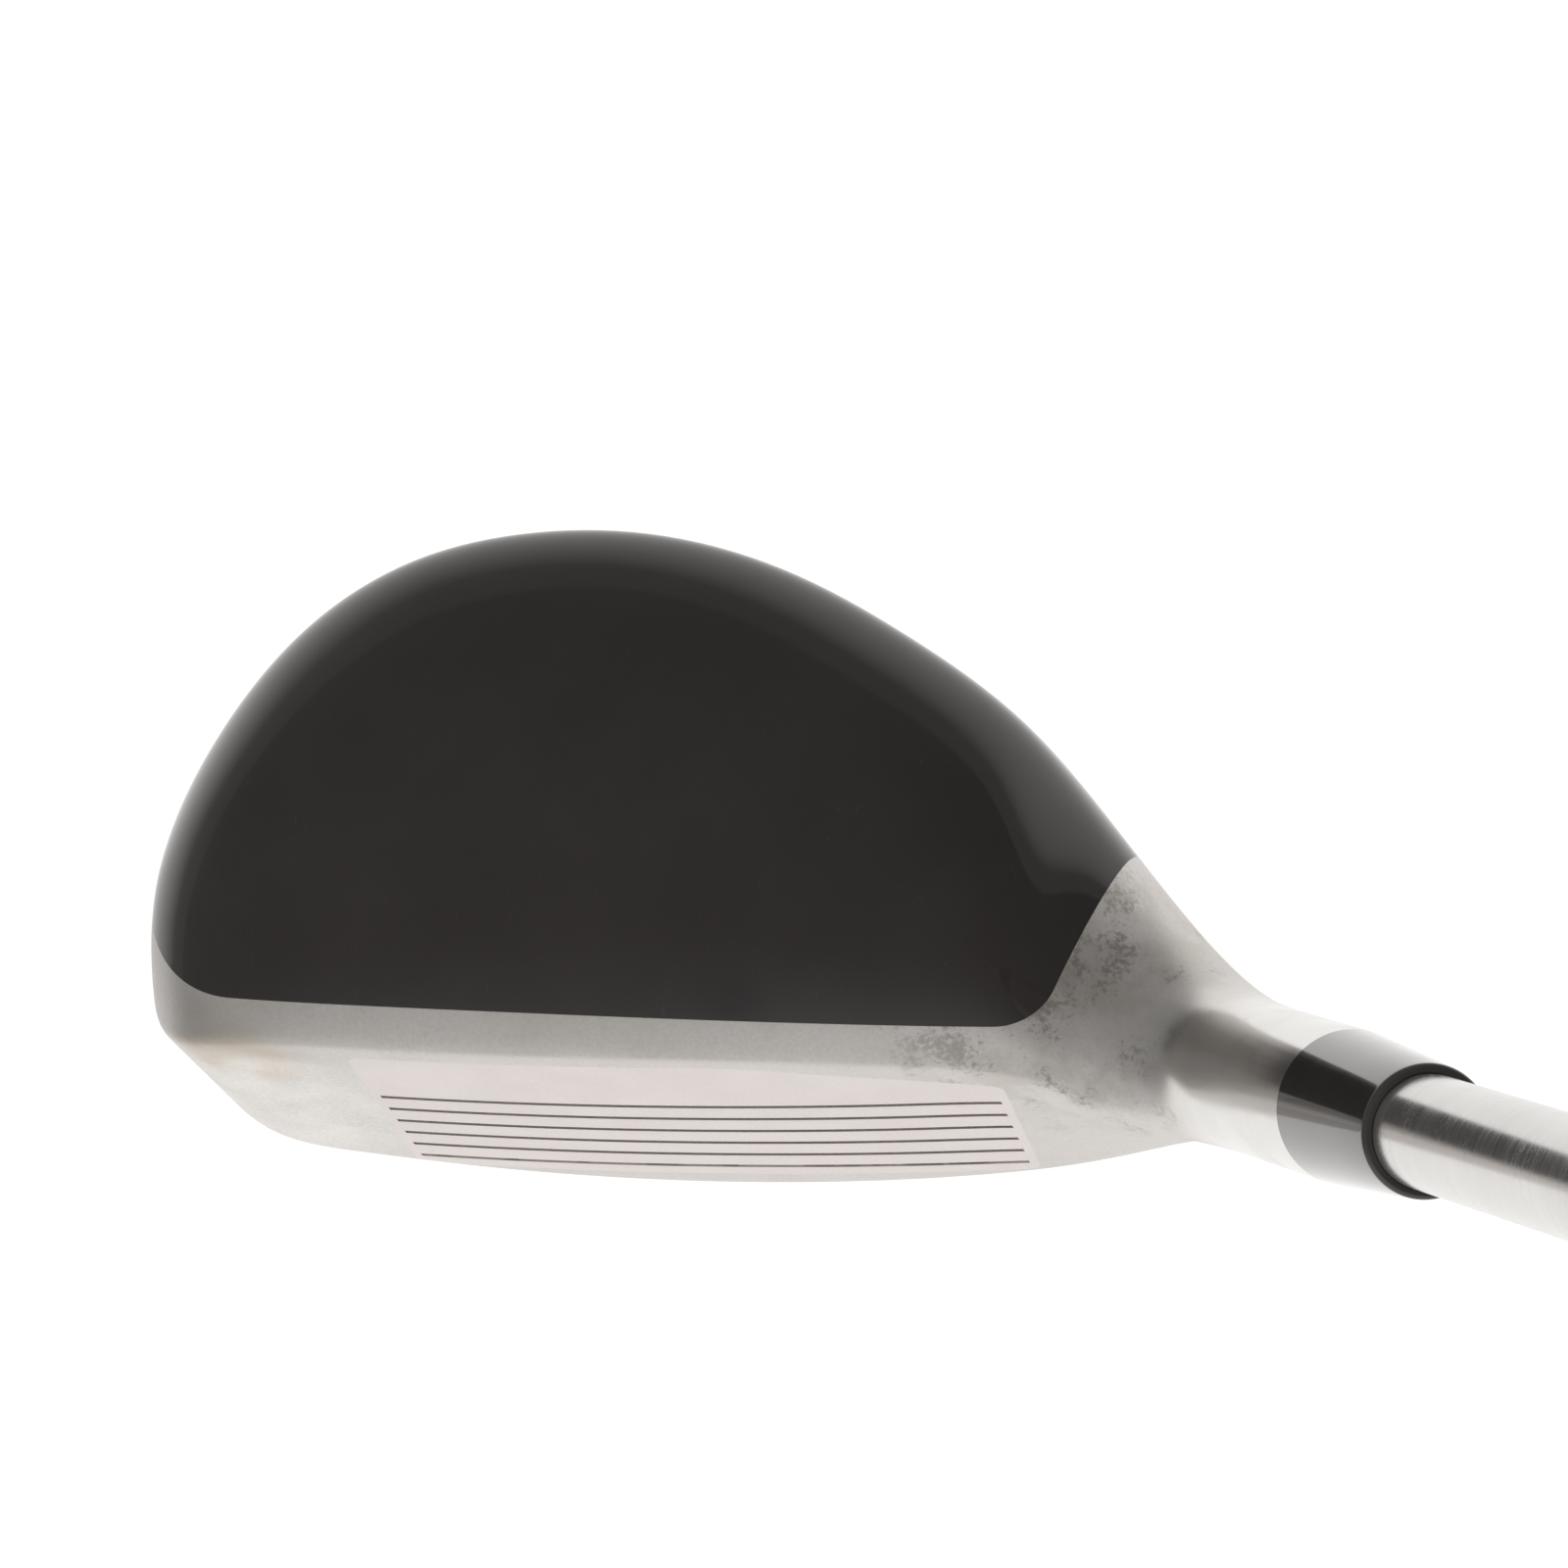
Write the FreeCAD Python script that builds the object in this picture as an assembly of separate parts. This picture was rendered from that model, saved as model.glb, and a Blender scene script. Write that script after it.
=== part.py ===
import FreeCAD, Part
import math
import os

# Hybrid golf club, standing at its address position. Sizes are in millimetres.
# The origin is on the ground under the middle of the face. -X runs to the toe and +X to the heel,
# -Y to the target and +Y to the back of the head, and +Z is up. The shaft's axis lies in the XZ plane.

Vector = FreeCAD.Vector

# Head, outside
TOE_REACH = 49.3            # middle of the face to the toe end
HEEL_REACH = 30.0           # middle of the face to where the body starts to turn up into the neck
HEAD_BACK = 47.2            # shaft axis to the back edge
FACE_PROGRESSION = 14.0     # shaft axis to the face plane, at ground height
FACE_HEIGHT = 35.4          # ground to the top line
CROWN_HEIGHT = 38.2         # ground to the top of the crown
SKIRT_HEIGHT = 18.0         # ground to the widest line round the back
LOFT = 24.0                 # degrees
LIE = 60.0                  # degrees
BULGE_RADIUS = 450.0        # face, heel to toe
ROLL_RADIUS = 450.0         # face, top to bottom
SOLE_CAMBER = 170.0         # sole, heel to toe
LEADING_SOFTNESS = 4.0      # how far the edge between face and sole is rounded
TOP_LINE_SOFTNESS = 1.6     # how far the edge between face and crown is rounded

# Neck and hosel, measured along the shaft axis from the ground
AXIS_AT_GROUND = 35.0       # middle of the face to where the shaft axis meets the ground
NECK_PIVOT_HEIGHT = 42.0    # the slices of the heel fan out about this height
HOSEL_WALL = 1.68
HOSEL_TOP = 58.0
BORE_DEPTH = 32.0

# Head, walls
FACE_WALL = 3.2
CROWN_WALL = 1.8
SIDE_WALL = 1.8
SOLE_WALL = 2.0
CAVITY_END = 0.7            # size of the hollow's last slice, as a share of the full one
CROWN_PLATE = 0.8           # thickness
CROWN_BOND = 0.15           # adhesive between the plate and its ledge
CROWN_LEDGE = 3.0           # width of the ledge
FACE_PLATE = 2.2            # thickness
FACE_LEDGE = 1.8            # width of the ledge behind the face plate

# Crown plate, seen from above
CROWN_FRONT = 6.0           # shaft axis to the plate's front edge
CROWN_FRONT_SKEW = 1.5      # how much nearer the face the edge is at its ends, heel less toe
CROWN_TOE_CORNER = 43.4     # middle of the face to the front edge's toe corner
CROWN_HEEL_CORNER = 32.8
CROWN_TOE_RADIUS = 12.0
CROWN_HEEL_RADIUS = 5.0
CROWN_TOE_SLOPE = 1.1       # how steeply the edge runs back from the toe corner
CROWN_HEEL_SLOPE = 0.43     # how far it runs to the heel for each millimetre back
CROWN_SPLIT = 14.0          # ground to the plate's lower edge, round the back

# Face plate and scorelines, measured up the face from the ground
GROOVES = 6
GROOVE_LENGTH = 56.4
GROOVE_WIDTH = 0.7
GROOVE_DEPTH = 0.45
GROOVE_PITCH = 3.5
GROOVE_LOWEST = 7.6
GROOVE_SLANT = 5.0          # degrees that the row of ends leans
GROOVE_OFFSET = 1.3         # the rows' middle, toe side of the face's middle
PAINT_DEPTH = 0.3           # paint in the bottom of each line
PLATE_LOW = 5.2
PLATE_HIGH = 36.4           # toe side
PLATE_HEEL_HIGH = 29.6      # at the heel end
PLATE_BEND = 6.0            # middle of the face to where the top edge starts to fall
PLATE_MARGIN = 0.8          # plate beyond the ends of the lines
PLATE_CORNER = 1.5

# Weights and filler in the head
WEIGHT_X = -4.0
WEIGHT_Y = 27.0
WEIGHT_RADIUS = 6.0
WEIGHT_DEPTH = 6.0
WEIGHT_FIT = 0.03
WEIGHT_SLOT = 1.6           # width of the slot it is driven by
WEIGHT_SLOT_DEPTH = 1.2
BOSS_WALL = 1.6
PAD_RADIUS = 10.0
PAD_GAP = 0.4               # pad to the weight's boss
PAD_X = WEIGHT_X - WEIGHT_RADIUS - BOSS_WALL - PAD_GAP - PAD_RADIUS
PAD_Y = 24.0
PAD_HEIGHT = 2.2

# Shaft
TIP_RADIUS = 4.7
BUTT_RADIUS = 7.62
SHAFT_WALL = 0.6
TIP_STRAIGHT = 250.0        # plain length before the first step
STEP_PITCH = 44.45
STEP_RAMP = 1.5
STEPS = 14
CLUB_LENGTH = 1003.0        # ground to the end of the grip
BOND_GAP = 0.1              # epoxy between the shaft and the bore
PIN_HEAD = 2.0              # the tip pin's head, under the end of the shaft
PIN_LENGTH = 22.0
PIN_FIT = 0.05

# Ferrule
FERRULE_LENGTH = 19.0
FERRULE_LIP = 0.83          # wall at its thin end
FERRULE_FIT = 0.03
FERRULE_ROUND = 0.45

# Grip and band
GRIP_LENGTH = 267.0
GRIP_BUTT_RADIUS = 13.2
GRIP_UPPER_RADIUS = 11.7
GRIP_UPPER_PLACE = 50.0     # end of the grip to where the flare has run out
GRIP_BUTT_SLOPE = 0.08      # how fast the flare still widens at the end of the grip
GRIP_MOUTH_RADIUS = 9.4
GRIP_MOUTH_ROUND = 0.8
CAP_THICKNESS = 5.0
CAP_ROUND = 2.0
VENT_RADIUS = 1.6
TAPE = 0.2                  # double-sided tape under the grip
TAPE_SETBACK = 3.0
BAND = 0.08                 # thickness of the shaft band
BAND_LENGTH = 38.0
BAND_STEP = 8               # the step that the band follows

# Control sections of the head's skin
SECTION_POINTS = 18
SECTION_TURN = 225.0        # degrees, where the first control point of a round slice is
SEAM = 15                   # the control point that the surface's seam follows, under the sole
CROWN_SEAM = 11             # control points from there to the second seam, over the crown
FAN_SLICES = 4
HOSEL_SLICES = 3
NECK_START_PINCH = 1.2      # how slowly the heel starts to narrow
NECK_END_PINCH = 2.6        # how soon it reaches the neck's size

# Slices of the body from the toe: place (share of the toe or heel reach), face set back, and the
# back edge, top line, crown and widest line as shares of their sizes, then the sole above its camber.
BODY_SLICES = [
    (-1.00, 9.5, 0.37, 0.66, 0.62, 1.02, 3.6),
    (-0.98, 3.2, 0.46, 0.76, 0.72, 1.02, 1.2),
    (-0.89, -0.2, 0.63, 0.92, 0.87, 1.00, 0.0),
    (-0.74, 0.0, 0.82, 0.99, 0.95, 1.00, 0.0),
    (-0.54, 0.0, 0.95, 1.00, 0.99, 1.00, 0.0),
    (-0.32, 0.0, 1.00, 1.00, 1.00, 1.00, 0.0),
    (-0.08, 0.0, 1.00, 1.00, 1.00, 1.00, 0.0),
    (0.27, 0.0, 0.93, 0.98, 0.99, 1.00, 0.0),
    (0.63, 0.0, 0.80, 0.93, 0.96, 1.03, 0.0),
    (1.00, 0.0, 0.64, 0.86, 0.88, 1.06, 0.0),
]

LOFT_ANGLE = math.radians(LOFT)
LIE_ANGLE = math.radians(LIE)
FAR = 3 * (HEAD_BACK + TOE_REACH)
MATCH = 0.01
FACE_OUT = Vector(0, -math.cos(LOFT_ANGLE), math.sin(LOFT_ANGLE))
BORE_RADIUS = TIP_RADIUS + BOND_GAP
HOSEL_RADIUS = BORE_RADIUS + HOSEL_WALL
BORE_END = HOSEL_TOP - BORE_DEPTH
SHAFT_START = BORE_END + PIN_HEAD
SHAFT_END = CLUB_LENGTH - CAP_THICKNESS
GRIP_START = CLUB_LENGTH - GRIP_LENGTH
FIRST_STEP = SHAFT_START + TIP_STRAIGHT


# ---- the head's skin -------------------------------------------------------------------------

def face_y(x, z):
    """The face: lofted, with bulge from heel to toe and roll from top to bottom."""
    plane = -FACE_PROGRESSION + z * math.tan(LOFT_ANGLE)
    return plane + x * x / (2 * BULGE_RADIUS) + (z - FACE_HEIGHT / 2) ** 2 / (2 * ROLL_RADIUS)


def body_section(x, setback, back, top, crown, widest, sole):
    """Control points (y, z) of an upright slice, from the leading edge up the face and round."""
    low = Vector(0, face_y(x, sole) + setback, sole)
    high = Vector(0, face_y(x, top) + setback, top)
    rise = (high - low).Length
    up = (high - low) / rise
    soft_low = min(LEADING_SOFTNESS, rise / 4)
    soft_high = min(TOP_LINE_SOFTNESS, rise / 4)
    depth = back - high.y
    drop = crown - widest
    lift = widest - sole
    steps = (0, soft_low, rise * 0.4, rise * 0.7, rise - soft_high, rise)
    face = [low + up * step for step in steps]
    rest = [
        (high.y + min(TOP_LINE_SOFTNESS, depth / 10), top + (crown - top) * 0.25),
        (high.y + depth * 0.14, top + (crown - top) * 0.7),
        (high.y + depth * 0.42, crown),
        (high.y + depth * 0.72, widest + drop * 0.80),
        (high.y + depth * 0.92, widest + drop * 0.42),
        (back, widest + drop * 0.12),
        (back, widest - lift * 0.12),
        (high.y + depth * 0.90, widest - lift * 0.55),
        (high.y + depth * 0.66, sole + lift * 0.16),
        (high.y + depth * 0.36, sole),
        (high.y + depth * 0.08, sole),
        (low.y + soft_low, sole),
    ]
    return [(point.y, point.z) for point in face] + rest


def round_section(radius):
    """As many control points on a circle: (across, up) in the slice's own plane."""
    step = 2 * math.pi / SECTION_POINTS
    control = radius * 3 / (2 + math.cos(step))
    angles = [math.radians(SECTION_TURN) - i * step for i in range(SECTION_POINTS)]
    return [(control * math.cos(angle), control * math.sin(angle)) for angle in angles]


def axis_point(distance, across=0.0, up=0.0):
    """A point at a distance along the shaft axis, moved across (Y) and up in the plane square to it."""
    x = AXIS_AT_GROUND + distance * math.cos(LIE_ANGLE) - up * math.sin(LIE_ANGLE)
    return Vector(x, across, distance * math.sin(LIE_ANGLE) + up * math.cos(LIE_ANGLE))


def body_rings(face_inset, top_inset, side_inset, sole_inset):
    """The body's slices as rings of control points, with the walls inset."""
    rings = []
    for place, setback, back, top, crown, widest, sole in BODY_SLICES:
        reach = TOE_REACH if place < 0 else HEEL_REACH
        x = place * reach
        section = body_section(
            x,
            setback + face_inset / math.cos(LOFT_ANGLE),
            back * HEAD_BACK - side_inset,
            top * FACE_HEIGHT - top_inset,
            crown * CROWN_HEIGHT - top_inset,
            widest * SKIRT_HEIGHT,
            x * x / (2 * SOLE_CAMBER) + sole + sole_inset,
        )
        toe_inset = side_inset * max(-place, 0)
        rings.append([Vector(x + toe_inset, y, z) for y, z in section])
    return rings


def pole(ring):
    """The middle of a ring, repeated, which closes the surface there."""
    middle = Vector(0, 0, 0)
    for point in ring:
        middle = middle + point / len(ring)
    return [middle] * len(ring)


def neck_rings(heel_ring, radius):
    """Slices that turn about the pivot from upright to square to the shaft, then run up the hosel."""
    pivot = Vector(HEEL_REACH, 0, NECK_PIVOT_HEIGHT)
    to_pivot = Vector(HEEL_REACH - AXIS_AT_GROUND, 0, NECK_PIVOT_HEIGHT)
    neck_start = to_pivot.x * math.cos(LIE_ANGLE) + to_pivot.z * math.sin(LIE_ANGLE)
    reach = (axis_point(neck_start) - pivot).Length
    neck = round_section(radius)
    rings = []
    for i in range(1, FAN_SLICES + 1):
        share = i / FAN_SLICES
        turn = share * LIE_ANGLE
        weight = 1 - (1 - share ** NECK_START_PINCH) ** NECK_END_PINCH
        ring = []
        for point, (across, up) in zip(heel_ring, neck):
            y = point.y * (1 - weight) + across * weight
            down = (NECK_PIVOT_HEIGHT - point.z) * (1 - weight) + (reach - up) * weight
            ring.append(pivot + Vector(down * math.sin(turn), y, -down * math.cos(turn)))
        rings.append(ring)
    for i in range(1, HOSEL_SLICES + 1):
        distance = neck_start + (HOSEL_TOP - neck_start) * i / HOSEL_SLICES
        rings.append([axis_point(distance, across, up) for across, up in neck])
    return rings


def skin(rings, capped):
    """A solid inside one smooth surface through rings of control points, with a flat cap if asked."""
    count = len(rings)
    end = float(count - 3)
    surface = Part.BSplineSurface()
    surface.buildFromPolesMultsKnots(
        [ring[SEAM:] + ring[:SEAM] for ring in rings],
        [4] + [1] * (count - 4) + [4],
        [1] * (SECTION_POINTS + 1),
        [float(i) for i in range(count - 2)],
        [float(i) for i in range(SECTION_POINTS + 1)],
        False,
        True,
        3,
        3,
    )
    faces = []
    rim = []
    for start, stop in [(0, CROWN_SEAM), (CROWN_SEAM, SECTION_POINTS)]:
        half = surface.copy()
        half.segment(0.0, end, float(start), float(stop))
        faces.append(half.toShape())
        rim.append(half.uIso(end).toShape())
    if capped:
        faces.append(Part.Face(Part.Wire(rim)))
    shell = Part.makeShell(faces)
    shell.sewShape()
    solid = Part.makeSolid(shell)
    if solid.Volume < 0:
        solid.reverse()
    return solid


def head_skin(inset):
    """The head's outer shape, or one the same distance inside it all over."""
    rings = body_rings(inset, inset, inset, inset)
    return skin([pole(rings[0])] + rings + neck_rings(rings[-1], HOSEL_RADIUS - inset), True)


def head_cavity():
    """The hollow inside the head, closed at the toe and at the heel."""
    rings = body_rings(FACE_WALL, CROWN_WALL, SIDE_WALL, SOLE_WALL)
    end = pole(rings[-1])
    rings[-1] = [middle + (point - middle) * CAVITY_END for middle, point in zip(end, rings[-1])]
    return skin([pole(rings[0])] + rings + [end], False)


# ---- where the head's pieces part ------------------------------------------------------------

def rounded_wire(corners):
    """A closed wire with an arc at each corner that has a radius: (x, y, radius)."""
    edges = []
    starts = []
    ends = []
    count = len(corners)
    for i in range(count):
        corner = Vector(corners[i][0], corners[i][1], 0)
        before = Vector(corners[i - 1][0], corners[i - 1][1], 0)
        after = Vector(corners[(i + 1) % count][0], corners[(i + 1) % count][1], 0)
        towards = (before - corner).normalize()
        away = (after - corner).normalize()
        radius = corners[i][2]
        half = towards.getAngle(away) / 2
        start = corner + towards * (radius / math.tan(half))
        end = corner + away * (radius / math.tan(half))
        if radius > 0:
            crest = corner + (towards + away).normalize() * (radius / math.sin(half) - radius)
            edges.append(Part.Arc(start, crest, end).toShape())
        starts.append(start)
        ends.append(end)
    for i in range(count):
        edges.append(Part.LineSegment(ends[i], starts[(i + 1) % count]).toShape())
    return Part.Wire(Part.__sortEdges__(edges))


def crown_zone(inset, lowest):
    """An upright prism over the crown plate, its plan moved in by an inset, from a height upward."""
    toe_y = CROWN_FRONT + CROWN_FRONT_SKEW + inset
    heel_y = CROWN_FRONT - CROWN_FRONT_SKEW + inset
    toe_x = -CROWN_TOE_CORNER + inset * CROWN_TOE_SLOPE
    heel_x = CROWN_HEEL_CORNER - inset * CROWN_HEEL_SLOPE
    plan = [
        (toe_x - FAR, toe_y + FAR * CROWN_TOE_SLOPE, 0),
        (toe_x, toe_y, CROWN_TOE_RADIUS),
        (heel_x, heel_y, CROWN_HEEL_RADIUS),
        (heel_x + FAR * CROWN_HEEL_SLOPE, heel_y + FAR, 0),
        (0, 3 * FAR, 0),
    ]
    zone = Part.Face(rounded_wire(plan)).extrude(Vector(0, 0, FAR))
    zone.translate(Vector(0, 0, lowest))
    return zone


def toe_side(limit):
    """All the space on the toe side of a place."""
    return Part.makeBox(FAR, 2 * FAR, 2 * FAR, Vector(limit - FAR, -FAR, -FAR))


def on_face(shape):
    """Moves a shape drawn on XY, with +Z outwards, on to the lofted face."""
    shape.rotate(Vector(0, 0, 0), Vector(1, 0, 0), 90 - LOFT)
    shape.translate(Vector(0, -FACE_PROGRESSION, 0))
    return shape


def face_zone(inset, depth):
    """A prism square to the face, with leaning ends, over the face plate and a depth into it."""
    middle = GROOVE_LOWEST + GROOVE_PITCH * (GROOVES - 1) / 2
    half = GROOVE_LENGTH / 2 + PLATE_MARGIN - inset
    lean = math.tan(math.radians(GROOVE_SLANT))
    low = PLATE_LOW + inset
    high = PLATE_HIGH - inset
    heel_high = PLATE_HEEL_HIGH - inset
    corners = [
        (-GROOVE_OFFSET + (low - middle) * lean - half, low, PLATE_CORNER),
        (-GROOVE_OFFSET + (low - middle) * lean + half, low, PLATE_CORNER),
        (-GROOVE_OFFSET + (heel_high - middle) * lean + half, heel_high, PLATE_CORNER),
        (PLATE_BEND, high, FACE_HEIGHT),
        (-GROOVE_OFFSET + (high - middle) * lean - half, high, PLATE_CORNER),
    ]
    front = FACE_HEIGHT / 4
    zone = Part.Face(rounded_wire(corners)).extrude(Vector(0, 0, front + depth))
    zone.translate(Vector(0, 0, -depth))
    return on_face(zone)


def groove_slabs():
    """One thin slab for each scoreline, square to the face."""
    slabs = []
    depth = FACE_HEIGHT / 4
    lean = math.tan(math.radians(GROOVE_SLANT))
    for i in range(GROOVES):
        height = GROOVE_LOWEST + i * GROOVE_PITCH
        middle = -GROOVE_OFFSET + (i - (GROOVES - 1) / 2) * GROOVE_PITCH * lean
        corner = Vector(middle - GROOVE_LENGTH / 2, height - GROOVE_WIDTH / 2, -depth)
        slabs.append(on_face(Part.makeBox(GROOVE_LENGTH, GROOVE_WIDTH, 2 * depth, corner)))
    return Part.makeCompound(slabs)


def sunk(shape, depth):
    """A copy moved straight into the face."""
    copy = shape.copy()
    copy.translate(FACE_OUT * -depth)
    return copy


# ---- pieces turned about the shaft's axis ----------------------------------------------------

def on_axis(shape):
    """Moves a shape built up along +Z from the ground on to the shaft's axis."""
    shape.rotate(Vector(0, 0, 0), Vector(0, 1, 0), 90 - LIE)
    shape.translate(Vector(AXIS_AT_GROUND, 0, 0))
    return shape


def rod(radius, start, end):
    """A plain cylinder on the shaft's axis."""
    return on_axis(Part.makeCylinder(radius, end - start, Vector(0, 0, start)))


def turned(outline):
    """A solid of revolution about the shaft's axis from a closed outline of (radius, distance)."""
    points = [Vector(radius, 0, distance) for radius, distance in outline]
    face = Part.Face(Part.makePolygon(points + [points[0]]))
    return on_axis(face.revolve(Vector(0, 0, 0), Vector(0, 0, 1), 360))


def shaft_line(start, end, offset):
    """The shaft's stepped outside between two places, moved out by an offset: (radius, distance)."""
    growth = (BUTT_RADIUS - TIP_RADIUS) / STEPS
    points = []
    radius = TIP_RADIUS
    for i in range(STEPS):
        foot = FIRST_STEP + i * STEP_PITCH
        if foot <= start:
            radius += growth
            continue
        if not points:
            points.append((radius + offset, start))
        if foot + STEP_RAMP < end:
            points.append((radius + offset, foot))
            radius += growth
            points.append((radius + offset, foot + STEP_RAMP))
    if not points:
        points.append((radius + offset, start))
    points.append((radius + offset, end))
    return points


def sleeve_on_shaft(start, end, inner, outer):
    """A layer on the shaft, between two offsets from its outside."""
    return turned(shaft_line(start, end, inner) + shaft_line(start, end, outer)[::-1])


# ---- the pieces ------------------------------------------------------------------------------

def weight_port(radius, top):
    """An upright cylinder where the weight sits, from below the sole to a height."""
    return Part.makeCylinder(radius, top + FAR, Vector(WEIGHT_X, WEIGHT_Y, -FAR))


def make_rear_weight(head):
    """A slotted slug pressed into a boss at the back of the sole, flush with the sole."""
    slug = head.common(weight_port(WEIGHT_RADIUS, WEIGHT_DEPTH))
    floor = slug.optimalBoundingBox().ZMin
    slot = Part.makeBox(2 * WEIGHT_RADIUS, WEIGHT_SLOT, WEIGHT_SLOT_DEPTH)
    slot.translate(Vector(WEIGHT_X - WEIGHT_RADIUS, WEIGHT_Y - WEIGHT_SLOT / 2, floor))
    return slug.cut(slot)


def make_crown_plate(head, under_plate):
    return head.cut(under_plate).common(crown_zone(0, CROWN_SPLIT))


def crown_opening():
    """The space inside the ledge, over the hollow."""
    opening = crown_zone(CROWN_LEDGE, CROWN_SPLIT + CROWN_LEDGE)
    return opening.common(toe_side(HEEL_REACH - CROWN_LEDGE))


def make_crown_bond(under_plate, ledge):
    """Adhesive between the crown plate and all that it sits on."""
    film = under_plate.cut(ledge).common(crown_zone(0, CROWN_SPLIT))
    return film.cut(crown_opening())


def make_face_plate(head, grooves):
    plate = head.cut(sunk(head, FACE_PLATE)).common(face_zone(0, FACE_HEIGHT / 4))
    return plate.cut(grooves)


def make_grooves(head):
    """The scorelines' hollows, an even depth into the curved face."""
    return groove_slabs().common(head).cut(sunk(head, GROOVE_DEPTH))


def make_scoreline_paint(head):
    filled = groove_slabs().common(sunk(head, GROOVE_DEPTH - PAINT_DEPTH))
    return filled.cut(sunk(head, GROOVE_DEPTH))


def make_head_body(head, ledge, cavity):
    """The cast body: sole, skirt, strip behind the top line, neck and hosel."""
    boss = ledge.common(weight_port(WEIGHT_RADIUS + BOSS_WALL, WEIGHT_DEPTH + BOSS_WALL))
    body = head.cut(cavity).fuse(boss)
    body = body.cut(head.cut(ledge).common(crown_zone(0, CROWN_SPLIT)))
    body = body.cut(crown_opening().common(ledge))
    body = body.cut(head.cut(sunk(head, FACE_PLATE)).common(face_zone(0, FACE_HEIGHT / 4)))
    body = body.cut(face_zone(FACE_LEDGE, FACE_WALL + FACE_LEDGE))
    body = body.cut(weight_port(WEIGHT_RADIUS + WEIGHT_FIT, WEIGHT_DEPTH))
    return body.cut(rod(BORE_RADIUS, BORE_END, HOSEL_TOP + FAR))


def make_hot_melt_pad(cavity):
    """A pool of filler on the floor of the hollow, for feel and swing weight."""
    spot = Part.makeCylinder(PAD_RADIUS, 2 * FAR, Vector(PAD_X, PAD_Y, -FAR))
    pool = cavity.common(spot)
    level = pool.optimalBoundingBox().ZMin + PAD_HEIGHT
    below = Part.makeBox(FAR, FAR, FAR, Vector(PAD_X - FAR / 2, PAD_Y - FAR / 2, level - FAR))
    return pool.common(below)


def make_hosel_epoxy():
    return rod(BORE_RADIUS, BORE_END, HOSEL_TOP).cut(rod(TIP_RADIUS, BORE_END, HOSEL_TOP))


def make_tip_pin():
    """A swing-weight pin: its head takes the end of the shaft and its stem sits inside the tip."""
    stem = TIP_RADIUS - SHAFT_WALL - PIN_FIT
    outline = [
        (0, BORE_END),
        (TIP_RADIUS, BORE_END),
        (TIP_RADIUS, SHAFT_START),
        (stem, SHAFT_START),
        (stem, SHAFT_START + PIN_LENGTH - stem / 2),
        (stem / 2, SHAFT_START + PIN_LENGTH),
        (0, SHAFT_START + PIN_LENGTH),
    ]
    return turned(outline)


def make_shaft():
    outside = shaft_line(SHAFT_START, SHAFT_END, 0)
    inside = shaft_line(SHAFT_START, SHAFT_END, -SHAFT_WALL)
    return turned(outside + inside[::-1])


def make_ferrule():
    """A tapered collar on the shaft, flush with the hosel, with a rounded end."""
    bore = TIP_RADIUS + FERRULE_FIT
    end = HOSEL_TOP + FERRULE_LENGTH
    start_edge = Vector(HOSEL_RADIUS, 0, HOSEL_TOP)
    end_edge = Vector(TIP_RADIUS + FERRULE_LIP, 0, end)
    inner_end = Vector(bore, 0, end)
    inner_start = Vector(bore, 0, HOSEL_TOP)
    face = Part.Face(Part.makePolygon([start_edge, end_edge, inner_end, inner_start, start_edge]))
    collar = face.revolve(Vector(0, 0, 0), Vector(0, 0, 1), 360)
    at_end = [edge for edge in collar.Edges if edge.BoundBox.ZMin > end - MATCH]
    rim = [edge for edge in at_end if edge.Length > 2 * math.pi * (bore + MATCH)]
    return on_axis(collar.makeFillet(FERRULE_ROUND, rim))


def make_shaft_band():
    start = FIRST_STEP + BAND_STEP * STEP_PITCH + (STEP_PITCH + STEP_RAMP - BAND_LENGTH) / 2
    return sleeve_on_shaft(start, start + BAND_LENGTH, 0, BAND)


def make_grip_tape():
    return sleeve_on_shaft(GRIP_START + TAPE_SETBACK, SHAFT_END, 0, TAPE)


def make_grip_sleeve():
    """Rubber sleeve: flared at the butt, then a long taper to the mouth."""
    bore = shaft_line(GRIP_START, SHAFT_END, TAPE)
    butt = Vector(GRIP_BUTT_RADIUS, 0, SHAFT_END)
    upper = Vector(GRIP_UPPER_RADIUS, 0, CLUB_LENGTH - GRIP_UPPER_PLACE)
    lip = Vector(GRIP_MOUTH_RADIUS, 0, GRIP_START + GRIP_MOUTH_ROUND)
    mouth = Vector(GRIP_MOUTH_RADIUS - GRIP_MOUTH_ROUND, 0, GRIP_START)
    slope = (GRIP_UPPER_RADIUS - GRIP_MOUTH_RADIUS) / (upper.z - lip.z)
    flare = Part.BSplineCurve()
    flare.interpolate(
        Points=[upper, butt],
        InitialTangent=Vector(slope, 0, 1) * GRIP_UPPER_PLACE,
        FinalTangent=Vector(GRIP_BUTT_SLOPE, 0, 1) * GRIP_UPPER_PLACE,
    )
    inside = [Vector(radius, 0, distance) for radius, distance in bore]
    edges = [
        Part.LineSegment(mouth, lip).toShape(),
        Part.LineSegment(lip, upper).toShape(),
        flare.toShape(),
        Part.LineSegment(butt, inside[-1]).toShape(),
    ]
    for a, b in zip(inside[::-1], inside[-2::-1]):
        edges.append(Part.LineSegment(a, b).toShape())
    edges.append(Part.LineSegment(inside[0], mouth).toShape())
    face = Part.Face(Part.Wire(edges))
    return on_axis(face.revolve(Vector(0, 0, 0), Vector(0, 0, 1), 360))


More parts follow.
